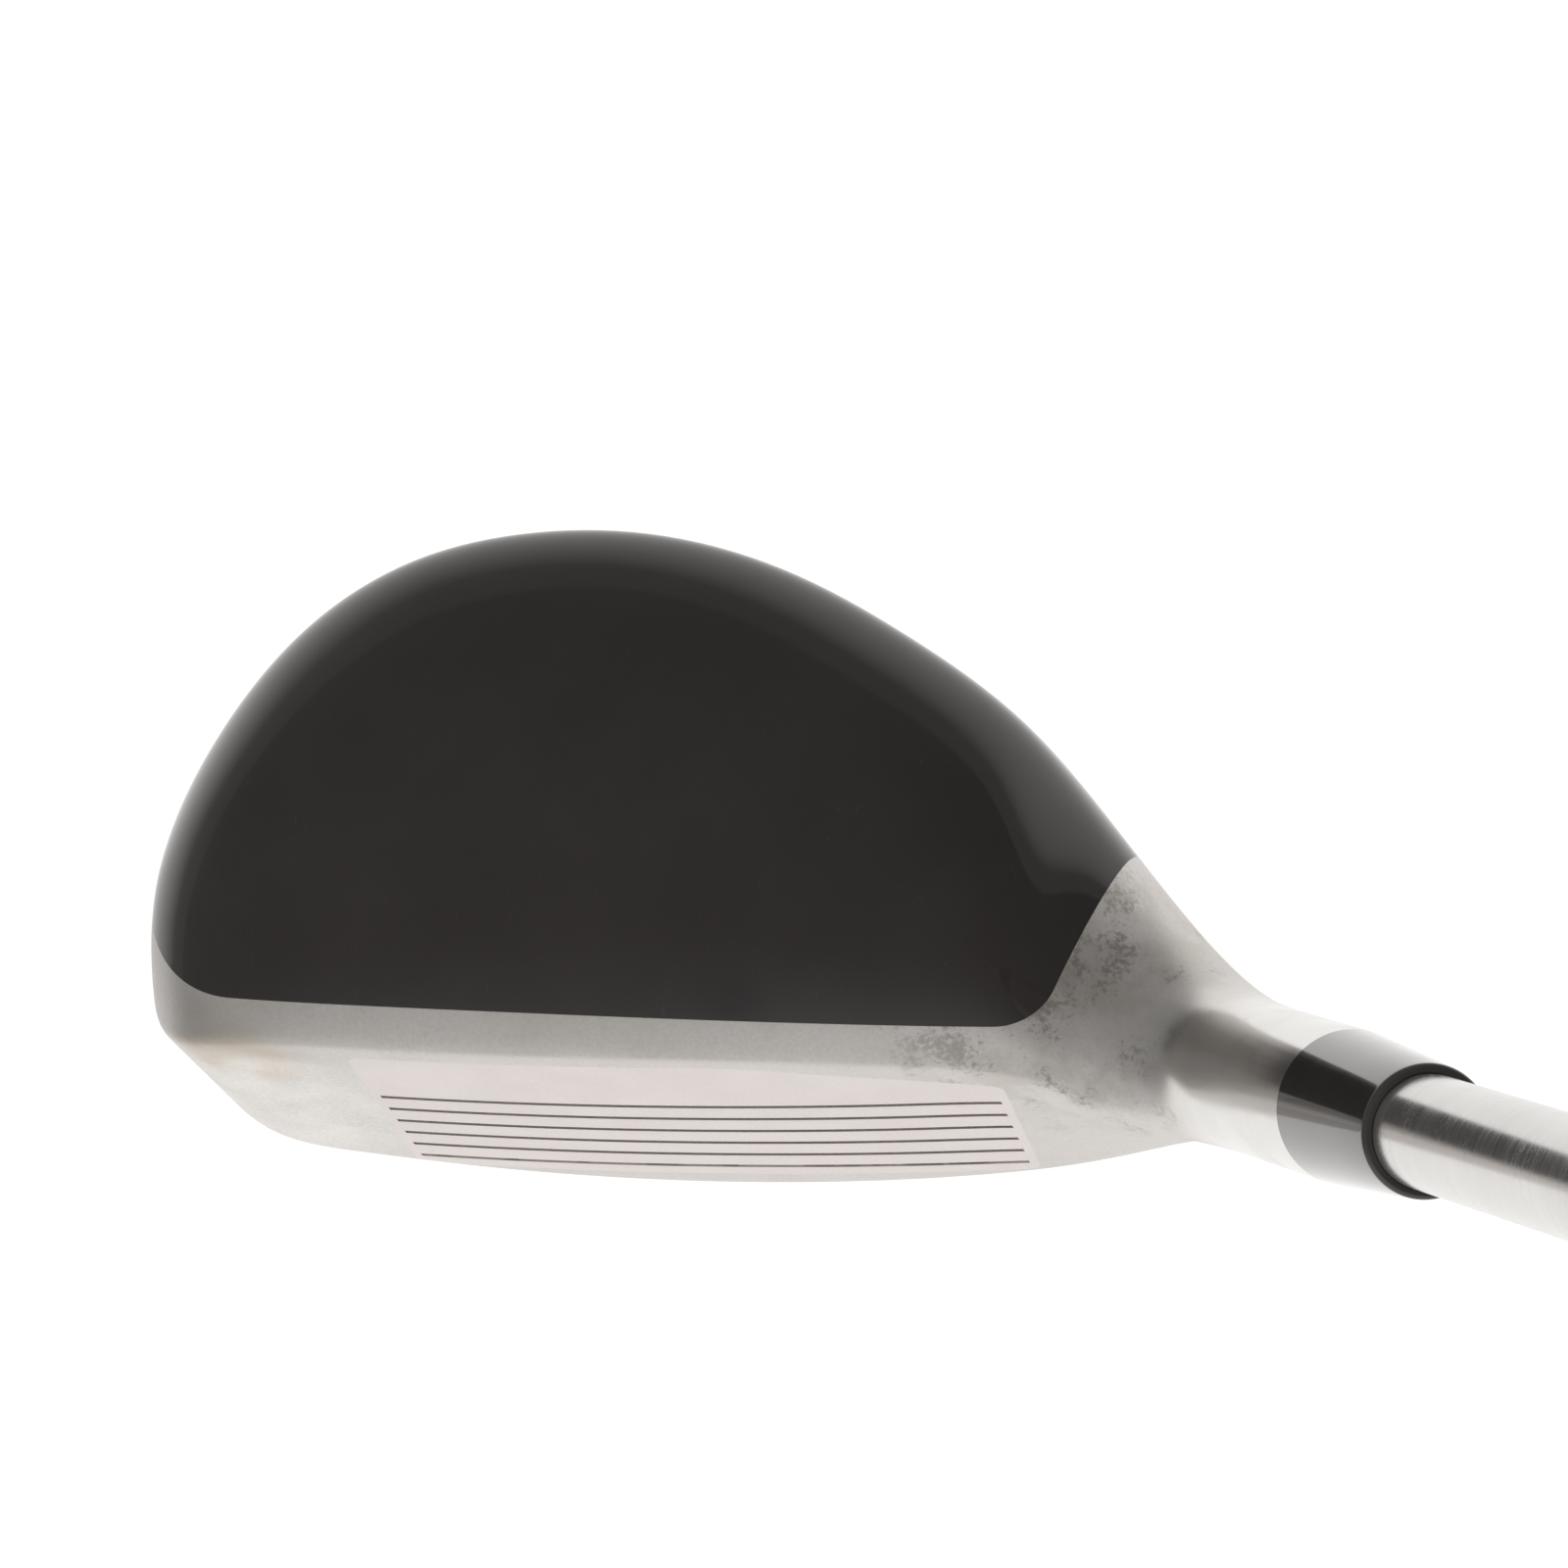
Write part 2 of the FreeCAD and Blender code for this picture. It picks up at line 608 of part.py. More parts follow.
def make_grip_cap():
    """The moulded end of the grip, with a vent hole on the axis."""
    disc = Part.makeCylinder(GRIP_BUTT_RADIUS, CAP_THICKNESS, Vector(0, 0, SHAFT_END))
    rim = [edge for edge in disc.Edges if edge.BoundBox.ZMin > CLUB_LENGTH - MATCH]
    disc = disc.makeFillet(CAP_ROUND, rim)
    vent = Part.makeCylinder(VENT_RADIUS, CAP_THICKNESS, Vector(0, 0, SHAFT_END))
    return on_axis(disc.cut(vent))


def build():
    head = head_skin(0)
    under_plate = head_skin(CROWN_PLATE)
    ledge = head_skin(CROWN_PLATE + CROWN_BOND)
    cavity = head_cavity()
    grooves = make_grooves(head)
    return {
        "head_body": make_head_body(head, ledge, cavity),
        "crown_plate": make_crown_plate(head, under_plate),
        "crown_bond": make_crown_bond(under_plate, ledge),
        "face_plate": make_face_plate(head, grooves),
        "scoreline_paint": make_scoreline_paint(head),
        "rear_weight": make_rear_weight(head),
        "hot_melt_pad": make_hot_melt_pad(cavity),
        "hosel_epoxy": make_hosel_epoxy(),
        "tip_pin": make_tip_pin(),
        "shaft": make_shaft(),
        "ferrule": make_ferrule(),
        "shaft_band": make_shaft_band(),
        "grip_tape": make_grip_tape(),
        "grip_sleeve": make_grip_sleeve(),
        "grip_cap": make_grip_cap(),
    }


os.makedirs("parts", exist_ok=True)
for name, shape in build().items():
    print(name, shape.isValid(), len(shape.Solids), round(shape.Volume, 2))
    shape.exportStep("parts/" + name + ".step")
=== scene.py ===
import math

import bpy
from mathutils import Matrix, Vector


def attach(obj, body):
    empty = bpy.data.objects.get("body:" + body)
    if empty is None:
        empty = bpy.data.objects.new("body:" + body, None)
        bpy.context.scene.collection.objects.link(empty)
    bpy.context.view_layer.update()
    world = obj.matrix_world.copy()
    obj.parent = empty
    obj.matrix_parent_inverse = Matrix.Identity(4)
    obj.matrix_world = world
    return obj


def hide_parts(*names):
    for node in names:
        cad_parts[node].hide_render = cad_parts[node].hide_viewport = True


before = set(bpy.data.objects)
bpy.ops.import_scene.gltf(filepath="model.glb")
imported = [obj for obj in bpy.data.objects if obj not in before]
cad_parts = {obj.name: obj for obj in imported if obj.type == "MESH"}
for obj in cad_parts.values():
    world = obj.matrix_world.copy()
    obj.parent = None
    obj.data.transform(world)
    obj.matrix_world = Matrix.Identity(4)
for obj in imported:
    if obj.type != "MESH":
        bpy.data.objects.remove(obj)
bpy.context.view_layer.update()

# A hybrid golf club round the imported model. Sizes are in millimetres and MM turns them into metres.
# The origin is on the ground under the middle of the face, -X to the toe, -Y to the target, +Z up.

MM = 0.001

# ---- sizes -----------------------------------------------------------------------------------

# Head, outside
TOE_REACH = 49.3
HEEL_REACH = 30.0
HEAD_BACK = 47.2
FACE_PROGRESSION = 14.0
FACE_HEIGHT = 35.4
CROWN_HEIGHT = 38.2
SKIRT_HEIGHT = 18.0
LOFT = math.radians(24)
LIE = math.radians(60)
SHAFT_AXIS = (math.cos(LIE), 0.0, math.sin(LIE))
FACE_CURVE = 450.0          # radius of the face's bulge and of its roll
SOLE_CAMBER = 170.0
LEADING_SOFTNESS = 4.0
TOP_LINE_SOFTNESS = 1.6

# Neck and hosel, along the shaft's axis from the ground
AXIS_AT_GROUND = 35.0
NECK_PIVOT_HEIGHT = 42.0
HOSEL_RADIUS = 6.48
HOSEL_TOP = 58.0
BORE_RADIUS = 4.8
BORE_END = 26.0

# Walls and plates
FACE_WALL = 3.2
SHELL_WALL = 1.8
SOLE_WALL = 2.0
CAVITY_END = 0.7            # size of the hollow's last slice, as a share of the full one
CROWN_PLATE = 0.8
CROWN_SEAT = 0.95           # plate and the adhesive under it
CROWN_LEDGE = 3.0
FACE_PLATE = 2.2
FACE_LEDGE = 1.8

# Crown plate, seen from above
CROWN_TOE_CORNER = (-43.4, 7.5)
CROWN_HEEL_CORNER = (32.8, 4.5)
CROWN_TOE_RADIUS = 12.0
CROWN_HEEL_RADIUS = 5.0
CROWN_TOE_SLOPE = 1.1       # how steeply the edge runs back from the toe corner
CROWN_HEEL_SLOPE = 0.43     # how far it runs to the heel for each millimetre back
CROWN_SPLIT = 14.0          # ground to the plate's lower edge, round the back

# Face plate and scorelines, up the face from the ground
GROOVES = 6
GROOVE_LENGTH = 56.4
GROOVE_WIDTH = 0.7
GROOVE_DEPTH = 0.45
GROOVE_PITCH = 3.5
GROOVE_LOWEST = 7.6
GROOVE_LEAN = math.tan(math.radians(5))
GROOVE_OFFSET = 1.3
PAINT_TOP = 0.15            # face to the top of the paint in a scoreline
GROOVE_MIDDLE = GROOVE_LOWEST + GROOVE_PITCH * (GROOVES - 1) / 2
PLATE_LOW = 5.2
PLATE_HIGH = 36.4           # toe side
PLATE_HEEL_HIGH = 29.6      # at the heel end
PLATE_BEND = 6.0            # middle of the face to where the top edge starts to fall
PLATE_MARGIN = 0.8          # plate beyond the ends of the lines
PLATE_CORNER = 1.5

# Weight in the sole
WEIGHT_X = -4.0
WEIGHT_Y = 27.0
WEIGHT_RADIUS = 6.0
WEIGHT_DEPTH = 6.0
WEIGHT_FIT = 0.03
WEIGHT_SLOT = 1.6           # width of the slot it is driven by
WEIGHT_SLOT_DEPTH = 1.2
BOSS_WALL = 1.6

# Shaft, ferrule, grip
TIP_RADIUS = 4.7
BUTT_RADIUS = 7.62
SHAFT_WALL = 0.6
SHAFT_START = 28.0
FIRST_STEP = 278.0
STEP_PITCH = 44.45
STEP_RAMP = 1.5
STEPS = 14
CLUB_LENGTH = 1003.0
CAP_THICKNESS = 5.0
SHAFT_END = CLUB_LENGTH - CAP_THICKNESS
FERRULE_LENGTH = 19.0
FERRULE_END_RADIUS = 5.53
FERRULE_FIT = 0.03
FERRULE_ROUND = 0.45
BAND_STEP = 8
BAND_LENGTH = 38.0
BAND = 0.08                 # thickness of the shaft band
BAND_START = FIRST_STEP + BAND_STEP * STEP_PITCH + (STEP_PITCH + STEP_RAMP - BAND_LENGTH) / 2
GRIP_LENGTH = 267.0
GRIP_START = CLUB_LENGTH - GRIP_LENGTH
GRIP_BUTT_RADIUS = 13.2
GRIP_UPPER_RADIUS = 11.7
GRIP_UPPER_PLACE = 50.0
GRIP_BUTT_SLOPE = 0.08      # how fast the flare still widens at the end of the grip
GRIP_MOUTH_RADIUS = 9.4
GRIP_MOUTH_ROUND = 0.8
POCKET_INSET = 0.12
POCKET_DEPTH = 0.25
TAPE = 0.2
VENT_RADIUS = 1.6
CAP_ROUND = 2.0
CAP_RINGS = (8.2, 5.6)      # outer radii of the shallow rings in its end
CAP_RING_WIDTH = 1.0
CAP_RING_DEPTH = 0.35
CAP_RING_SLOPE = 0.2
VENT_EDGE = 0.3

# How finely the pieces are made
SECTION_POINTS = 18
FAN_SLICES = 4
HOSEL_SLICES = 3
SKIN_LEVELS = 3
TURN_STEPS = 128
GRIP_ROWS = 168
GRIP_SIDES = 80
FAR = 300.0                 # well outside the head, for cutters

# The head's skin
SECTION_TURN = 225.0        # degrees, where the first control point of a round slice is
TOE_BLUNTNESS = -0.095      # how far the toe's first ring is drawn outwards
NECK_START_PINCH = 1.2      # how slowly the heel starts to narrow
NECK_END_PINCH = 2.6        # how soon it reaches the neck's size

# Camera: where its middle points, in millimetres, and from how far and which way, in degrees
CAMERA_AIM = (10.888, 25.356, 30.0)
CAMERA_DISTANCE = 715.757
CAMERA_BEARING = 15.706     # from +X towards +Y
CAMERA_ELEVATION = 74.219
CAMERA_ROLL = -106.586
CAMERA_LENS = 191.25
CAMERA_SENSOR = 36.0

# Floor and light: strengths, and lengths in metres
ROOM_LIGHT = 0.27
FRONT_LIGHT = 0.45          # added in front of the face
HEEL_SIDE_SHADE = 0.10      # taken away beyond the heel
LAMPS = {"lamp_left": (-1.4, -1.6, 2.2), "lamp_right": (2.0, 1.2, 2.6)}
LAMP_SIZE = 1.2
LAMP_POWER = 30.0
FLOOR_RADIUS = 12.0
FLOOR_LIGHT = 1.0
TABLE_CENTRE = (0.05, -0.08, 0.0)
TABLE_EDGE = 0.12           # from that centre to where the lit table starts to fade

# Slices of the body from the toe: place, face set back, shares of back, top line, crown and widest
# line, and the sole above its camber.
BODY_SLICES = [
    (-1.00, 9.5, 0.37, 0.66, 0.62, 1.02, 3.6),
    (-0.98, 3.2, 0.46, 0.76, 0.72, 1.02, 1.2),
    (-0.89, -0.2, 0.63, 0.92, 0.87, 1.00, 0.0),
    (-0.74, 0.0, 0.82, 0.99, 0.95, 1.00, 0.0),
    (-0.54, 0.0, 0.95, 1.00, 0.99, 1.00, 0.0),
    (-0.32, 0.0, 1.00, 1.00, 1.00, 1.00, 0.0),
    (-0.08, 0.0, 1.00, 1.00, 1.00, 1.00, 0.0),
    (0.27, 0.0, 0.93, 0.98, 0.99, 1.00, 0.0),
    (0.63, 0.0, 0.80, 0.93, 0.96, 1.03, 0.0),
    (1.00, 0.0, 0.64, 0.86, 0.88, 1.06, 0.0),
]


# ---- working in Blender ----------------------------------------------------------------------

def deselect():
    bpy.ops.object.select_all(action="DESELECT")


def take(obj):
    """Makes an object the only one selected and active."""
    deselect()
    obj.select_set(True)
    bpy.context.view_layer.objects.active = obj


def edit(obj):
    """Enters edit mode with all of an object's mesh selected."""
    take(obj)
    bpy.ops.object.mode_set(mode="EDIT")
    bpy.ops.mesh.select_all(action="SELECT")


def leave_edit():
    bpy.ops.object.mode_set(mode="OBJECT")


def settle(obj):
    """Puts an object's place into its mesh."""
    take(obj)
    bpy.ops.object.transform_apply(location=True, rotation=True, scale=True)


def named(name):
    obj = bpy.context.object
    obj.name = name
    obj.data.name = name
    return obj


def place_points(obj, points):
    """Moves a primitive's points, in order, to places in millimetres."""
    for vertex, point in zip(obj.data.vertices, points, strict=True):
        vertex.co = Vector(point) * MM


def face_outwards(obj):
    """Joins points that coincide and turns every face outwards."""
    edit(obj)
    bpy.ops.mesh.remove_doubles(threshold=0.0005 * MM)
    bpy.ops.mesh.normals_make_consistent(inside=False)
    leave_edit()


def boolean(obj, cutter, operation="DIFFERENCE", keep=False):
    """Cuts or joins one object with another, which is removed unless it is to be kept."""
    take(obj)
    modifier = obj.modifiers.new("cut", "BOOLEAN")
    modifier.operation = operation
    modifier.solver = "EXACT"
    modifier.object = cutter
    bpy.ops.object.modifier_apply(modifier=modifier.name)
    if not keep:
        bpy.data.objects.remove(cutter)
    return obj


def copy_of(obj, name, move=(0, 0, 0)):
    """A copy with its own mesh, moved by millimetres."""
    copy = obj.copy()
    copy.data = obj.data.copy()
    copy.name = name
    bpy.context.scene.collection.objects.link(copy)
    copy.data.transform(Matrix.Translation(Vector(move) * MM))
    return copy


def smooth(obj):
    take(obj)
    bpy.ops.object.shade_smooth_by_angle(angle=math.radians(30))


# ---- the head's skin -------------------------------------------------------------------------

def face_y(x, z):
    plane = -FACE_PROGRESSION + z * math.tan(LOFT)
    return plane + x * x / (2 * FACE_CURVE) + (z - FACE_HEIGHT / 2) ** 2 / (2 * FACE_CURVE)


def body_section(x, setback, back, top, crown, widest, sole):
    """Control points of an upright slice, from the leading edge up the face and round."""
    low = Vector((x, face_y(x, sole) + setback, sole))
    high = Vector((x, face_y(x, top) + setback, top))
    rise = (high - low).length
    soft_low = min(LEADING_SOFTNESS, rise / 4)
    soft_high = min(TOP_LINE_SOFTNESS, rise / 4)
    depth = back - high.y
    drop = crown - widest
    lift = widest - sole
    steps = (0, soft_low, rise * 0.4, rise * 0.7, rise - soft_high, rise)
    face = [low.lerp(high, step / rise) for step in steps]
    rest = [
        (high.y + min(TOP_LINE_SOFTNESS, depth / 10), top + (crown - top) * 0.25),
        (high.y + depth * 0.14, top + (crown - top) * 0.7),
        (high.y + depth * 0.42, crown),
        (high.y + depth * 0.72, widest + drop * 0.80),
        (high.y + depth * 0.92, widest + drop * 0.42),
        (back, widest + drop * 0.12),
        (back, widest - lift * 0.12),
        (high.y + depth * 0.90, widest - lift * 0.55),
        (high.y + depth * 0.66, sole + lift * 0.16),
        (high.y + depth * 0.36, sole),
        (high.y + depth * 0.08, sole),
        (low.y + soft_low, sole),
    ]
    return face + [Vector((x, y, z)) for y, z in rest]


def body_rings(face_inset, top_inset, side_inset, sole_inset):
    rings = []
    for place, setback, back, top, crown, widest, sole in BODY_SLICES:
        x = place * (TOE_REACH if place < 0 else HEEL_REACH)
        section = body_section(
            x,
            setback + face_inset / math.cos(LOFT),
            back * HEAD_BACK - side_inset,
            top * FACE_HEIGHT - top_inset,
            crown * CROWN_HEIGHT - top_inset,
            widest * SKIRT_HEIGHT,
            x * x / (2 * SOLE_CAMBER) + sole + sole_inset,
        )
        toe_inset = Vector((side_inset * max(-place, 0), 0, 0))
        rings.append([point + toe_inset for point in section])
    return rings


def round_section(radius):
    """Control points whose smooth curve is a circle: (across, up)."""
    step = 2 * math.pi / SECTION_POINTS
    control = radius * 3 / (2 + math.cos(step))
    angles = [math.radians(SECTION_TURN) - i * step for i in range(SECTION_POINTS)]
    return [(control * math.cos(angle), control * math.sin(angle)) for angle in angles]


def axis_point(distance, across=0.0, up=0.0):
    x = AXIS_AT_GROUND + distance * math.cos(LIE) - up * math.sin(LIE)
    return Vector((x, across, distance * math.sin(LIE) + up * math.cos(LIE)))


def neck_rings(heel_ring, radius):
    """Slices that turn from upright to square to the shaft, then run up the hosel."""
    pivot = Vector((HEEL_REACH, 0, NECK_PIVOT_HEIGHT))
    neck_start = (HEEL_REACH - AXIS_AT_GROUND) * math.cos(LIE) + NECK_PIVOT_HEIGHT * math.sin(LIE)
    reach = (axis_point(neck_start) - pivot).length
    rings = []
    for i in range(1, FAN_SLICES + 1):
        share = i / FAN_SLICES
        turn = share * LIE
        weight = 1 - (1 - share ** NECK_START_PINCH) ** NECK_END_PINCH
        ring = []
        for point, (across, up) in zip(heel_ring, round_section(radius)):
            y = point.y * (1 - weight) + across * weight
            down = (NECK_PIVOT_HEIGHT - point.z) * (1 - weight) + (reach - up) * weight
            ring.append(pivot + Vector((down * math.sin(turn), y, -down * math.cos(turn))))
        rings.append(ring)
    for i in range(1, HOSEL_SLICES + 1):
        distance = neck_start + (HOSEL_TOP - neck_start) * i / HOSEL_SLICES
        rings.append([axis_point(distance, across, up) for across, up in round_section(radius)])
    return rings


def middle_of(ring):
    return sum(ring, Vector()) / len(ring)


def subdivided(name, rings):
    """A cage through rings of points, from a grid, rounded by subdivision and closed at its ends."""
    deselect()
    bpy.ops.mesh.primitive_grid_add(x_subdivisions=SECTION_POINTS, y_subdivisions=len(rings) - 1)
    obj = named(name)
    place_points(obj, [point for ring in rings for point in ring + ring[:1]])
    face_outwards(obj)
    modifier = obj.modifiers.new("round", "SUBSURF")
    modifier.levels = SKIN_LEVELS
    modifier.render_levels = SKIN_LEVELS
    modifier.boundary_smooth = "ALL"
    bpy.ops.object.modifier_apply(modifier=modifier.name)
    bpy.ops.object.mode_set(mode="EDIT")
    bpy.ops.mesh.select_all(action="DESELECT")
    bpy.ops.mesh.select_mode(type="EDGE")
    bpy.ops.mesh.select_non_manifold()
    bpy.ops.mesh.edge_face_add()
    bpy.ops.mesh.select_mode(type="VERT")
    leave_edit()
    face_outwards(obj)
    return obj


def toe_end(rings):
    """The closed toe: a pole, and a first ring drawn in so that the end is as blunt as a cast one."""
    drawn_in = [first.lerp(second, TOE_BLUNTNESS) for first, second in zip(rings[0], rings[1])]
    pole = middle_of(rings[0]) + Vector((0.1, 0, 0))
    return [[pole] * SECTION_POINTS, drawn_in] + rings[1:]


def head_skin(name, inset):
    """The head's outer shape, or one the same distance inside it."""
    rings = body_rings(inset, inset, inset, inset)
    return subdivided(name, toe_end(rings) + neck_rings(rings[-1], HOSEL_RADIUS - inset))


def head_cavity():
    """The hollow inside the head."""
    rings = body_rings(FACE_WALL, SHELL_WALL, SHELL_WALL, SOLE_WALL)
    end = middle_of(rings[-1])
    rings[-1] = [end.lerp(point, CAVITY_END) for point in rings[-1]]
    return subdivided("cavity", toe_end(rings) + [[end] * SECTION_POINTS])


# ---- cutters ---------------------------------------------------------------------------------

def rounded(corners, arc_points=12):
    """An outline with an arc at each corner that has a radius: (x, y, radius)."""
    outline = []
    count = len(corners)
    for i in range(count):
        corner = Vector(corners[i][:2])
        towards = (Vector(corners[i - 1][:2]) - corner).normalized()
        away = (Vector(corners[(i + 1) % count][:2]) - corner).normalized()
        radius = corners[i][2]
        if radius == 0:
            outline.append(corner)
            continue
        half = towards.angle(away) / 2
        centre = corner + (towards + away).normalized() * (radius / math.sin(half))
        start = corner + towards * (radius / math.tan(half)) - centre
        end = corner + away * (radius / math.tan(half)) - centre
        turn = start.angle_signed(end)
        for k in range(arc_points + 1):
            outline.append(centre + Matrix.Rotation(-turn * k / arc_points, 2) @ start)
    return outline


def prism(name, outline, low, high):
    """A plan extruded upward between two heights."""
    deselect()
    bpy.ops.mesh.primitive_circle_add(vertices=len(outline), fill_type="NGON")
    obj = named(name)
    place_points(obj, [(x, y, low) for x, y in outline])
    edit(obj)
    bpy.ops.mesh.extrude_region_move(TRANSFORM_OT_translate={"value": (0, 0, (high - low) * MM)})
    leave_edit()
    face_outwards(obj)
    return obj


def block(name, low, high):
    """A box between two corners."""
    deselect()
    bpy.ops.mesh.primitive_cube_add(size=1)
    obj = named(name)
    obj.location = (Vector(low) + Vector(high)) / 2 * MM
    obj.scale = (Vector(high) - Vector(low)) * MM
    settle(obj)
    return obj


def on_face(obj):
    """Moves a shape drawn on XY, with +Z outwards, on to the lofted face."""
    obj.rotation_euler = (math.pi / 2 - LOFT, 0, 0)
    obj.location = (0, -FACE_PROGRESSION * MM, 0)
    settle(obj)
    return obj


def on_axis(obj):
    """Moves a shape built up along +Z from the ground on to the shaft's axis."""
    obj.rotation_euler = (0, math.pi / 2 - LIE, 0)
    obj.location = (AXIS_AT_GROUND * MM, 0, 0)
    settle(obj)
    return obj


def post(name, radius, start, end, x=0.0, y=0.0):
    """An upright cylinder between two heights."""
    deselect()
    depth = (end - start) * MM
    bpy.ops.mesh.primitive_cylinder_add(vertices=TURN_STEPS, radius=radius * MM, depth=depth)
    obj = named(name)
    obj.location = Vector((x, y, (start + end) / 2)) * MM
    settle(obj)
    return obj


def crown_zone(inset, lowest):
    """All that is over the crown plate's area and above a height, drawn in by an inset."""
    toe = Vector(CROWN_TOE_CORNER) + Vector((CROWN_TOE_SLOPE, 1)) * inset
    heel = Vector(CROWN_HEEL_CORNER) + Vector((-CROWN_HEEL_SLOPE, 1)) * inset
    plan = [
        (toe.x - FAR, toe.y + FAR * CROWN_TOE_SLOPE, 0),
        (toe.x, toe.y, CROWN_TOE_RADIUS),
        (heel.x, heel.y, CROWN_HEEL_RADIUS),
        (heel.x + FAR * CROWN_HEEL_SLOPE, heel.y + FAR, 0),
        (0, 3 * FAR, 0),
    ]
    return prism("crown zone", rounded(plan, 24), lowest, FAR)


def row_middle(height):
    """The middle of the leaning rows of lines, at a height up the face."""
    return -GROOVE_OFFSET + (height - GROOVE_MIDDLE) * GROOVE_LEAN


def face_zone(inset, depth):
    """The face plate's outline through the face, drawn in by an inset."""
    half = GROOVE_LENGTH / 2 + PLATE_MARGIN - inset
    low = PLATE_LOW + inset
    high = PLATE_HIGH - inset
    heel_high = PLATE_HEEL_HIGH - inset
    plan = [
        (row_middle(low) - half, low, PLATE_CORNER),
        (row_middle(low) + half, low, PLATE_CORNER),
        (row_middle(heel_high) + half, heel_high, PLATE_CORNER),
        (PLATE_BEND, high, FACE_HEIGHT),
        (row_middle(high) - half, high, PLATE_CORNER),
    ]
    return on_face(prism("face zone", rounded(plan), -depth, FACE_HEIGHT / 4))


def groove_slabs():
    """One thin slab for each scoreline, square to the face, joined in one object."""
    slabs = []
    for i in range(GROOVES):
        height = GROOVE_LOWEST + i * GROOVE_PITCH
        middle = row_middle(height)
        low = (middle - GROOVE_LENGTH / 2, height - GROOVE_WIDTH / 2, -6)
        high = (middle + GROOVE_LENGTH / 2, height + GROOVE_WIDTH / 2, 6)
        slabs.append(block("groove slab", low, high))
    deselect()
    for slab in slabs:
        slab.select_set(True)
    bpy.context.view_layer.objects.active = slabs[0]
    bpy.ops.object.join()
    return on_face(slabs[0])


def sunk(skin, name, depth):
    """A copy of the head's skin moved straight into the face."""
    return copy_of(skin, name, (0, depth * math.cos(LOFT), -depth * math.sin(LOFT)))


# ---- pieces of the head ----------------------------------------------------------------------

def make_head(skin, under_plate, ledge):
    """The cast body with its seats, openings and bore, the crown plate and the face plate."""
    body = copy_of(skin, "head_casting")
    boolean(body, head_cavity())
    boss = post("boss", WEIGHT_RADIUS + BOSS_WALL, -5, WEIGHT_DEPTH + BOSS_WALL, WEIGHT_X, WEIGHT_Y)
    boolean(body, boolean(boss, ledge, "INTERSECT", keep=True), "UNION")
    seat = boolean(crown_zone(0, CROWN_SPLIT), ledge, keep=True)
    boolean(body, seat)
    heel_limit = block("heel limit", (-FAR, -FAR, -FAR), (HEEL_REACH - CROWN_LEDGE, FAR, FAR))
    opening = boolean(crown_zone(CROWN_LEDGE, CROWN_SPLIT + CROWN_LEDGE), heel_limit, "INTERSECT")
    boolean(body, opening)
    floor = sunk(skin, "face seat floor", FACE_PLATE)
    boolean(body, boolean(face_zone(0, FACE_HEIGHT / 4), floor))
    boolean(body, face_zone(FACE_LEDGE, FACE_WALL + FACE_LEDGE))
    boolean(body, post("port", WEIGHT_RADIUS + WEIGHT_FIT, -5, WEIGHT_DEPTH, WEIGHT_X, WEIGHT_Y))
    boolean(body, on_axis(post("bore", BORE_RADIUS, BORE_END, HOSEL_TOP + 20)))

    crown = boolean(crown_zone(0, CROWN_SPLIT), skin, "INTERSECT", keep=True)
    crown.name = "crown_shell"
    boolean(crown, under_plate)

    plate = boolean(face_zone(0, FACE_HEIGHT / 4), skin, "INTERSECT", keep=True)
    plate.name = "face_insert"
    boolean(plate, sunk(skin, "plate back", FACE_PLATE))
    return body, crown, plate


def make_scorelines(skin, plate):
    """Cuts the scorelines into the face plate and lays the paint in them."""
    floor = sunk(skin, "scoreline floor", GROOVE_DEPTH)
    boolean(plate, boolean(groove_slabs(), floor, keep=True))
    paint = boolean(groove_slabs(), sunk(skin, "paint top", PAINT_TOP), "INTERSECT")
    paint.name = "scoreline_fill"
    boolean(paint, floor)
    return paint


def make_weight(skin):
    """A slotted slug, flush with the sole."""
    slug = post("sole_weight", WEIGHT_RADIUS, -5, WEIGHT_DEPTH, WEIGHT_X, WEIGHT_Y)
    boolean(slug, skin, "INTERSECT", keep=True)
    floor = min(vertex.co.z for vertex in slug.data.vertices) / MM
    half = WEIGHT_SLOT / 2
    slot_low = (WEIGHT_X - WEIGHT_RADIUS - 1, WEIGHT_Y - half, floor - 1)
    slot_high = (WEIGHT_X + WEIGHT_RADIUS + 1, WEIGHT_Y + half, floor + WEIGHT_SLOT_DEPTH)
    return boolean(slug, block("slot", slot_low, slot_high))


# ---- pieces turned about the shaft's axis ----------------------------------------------------

def turned(name, outline, steps=TURN_STEPS):
    """A closed outline of (radius, distance) spun round the shaft's axis."""
    deselect()
    bpy.ops.mesh.primitive_circle_add(vertices=len(outline), fill_type="NOTHING")
    obj = named(name)
    place_points(obj, [(radius, 0, distance) for radius, distance in outline])
    edit(obj)
    bpy.ops.mesh.spin(steps=steps, angle=2 * math.pi, center=(0, 0, 0), axis=(0, 0, 1))
    leave_edit()
    face_outwards(obj)
    return on_axis(obj)


def shaft_radius(distance):
    """The shaft's stepped radius at a distance along it."""
    growth = (BUTT_RADIUS - TIP_RADIUS) / STEPS
    climbed = (distance - FIRST_STEP) / STEP_PITCH
    whole = max(min(math.floor(climbed), STEPS - 1), -1)
    ramp = min(max(climbed - whole, 0) * STEP_PITCH / STEP_RAMP, 1)
    return TIP_RADIUS + growth * (whole + ramp if whole >= 0 else 0)


def shaft_places(start, end):
    """Where the shaft's outline needs a point: its ends, and close round each step's foot and top."""
    places = {start, end}
    for i in range(STEPS):
        foot = FIRST_STEP + i * STEP_PITCH
        for offset in (-0.5, 0, STEP_RAMP, STEP_RAMP + 0.5):
            if start < foot + offset < end:
                places.add(foot + offset)
    return sorted(places)


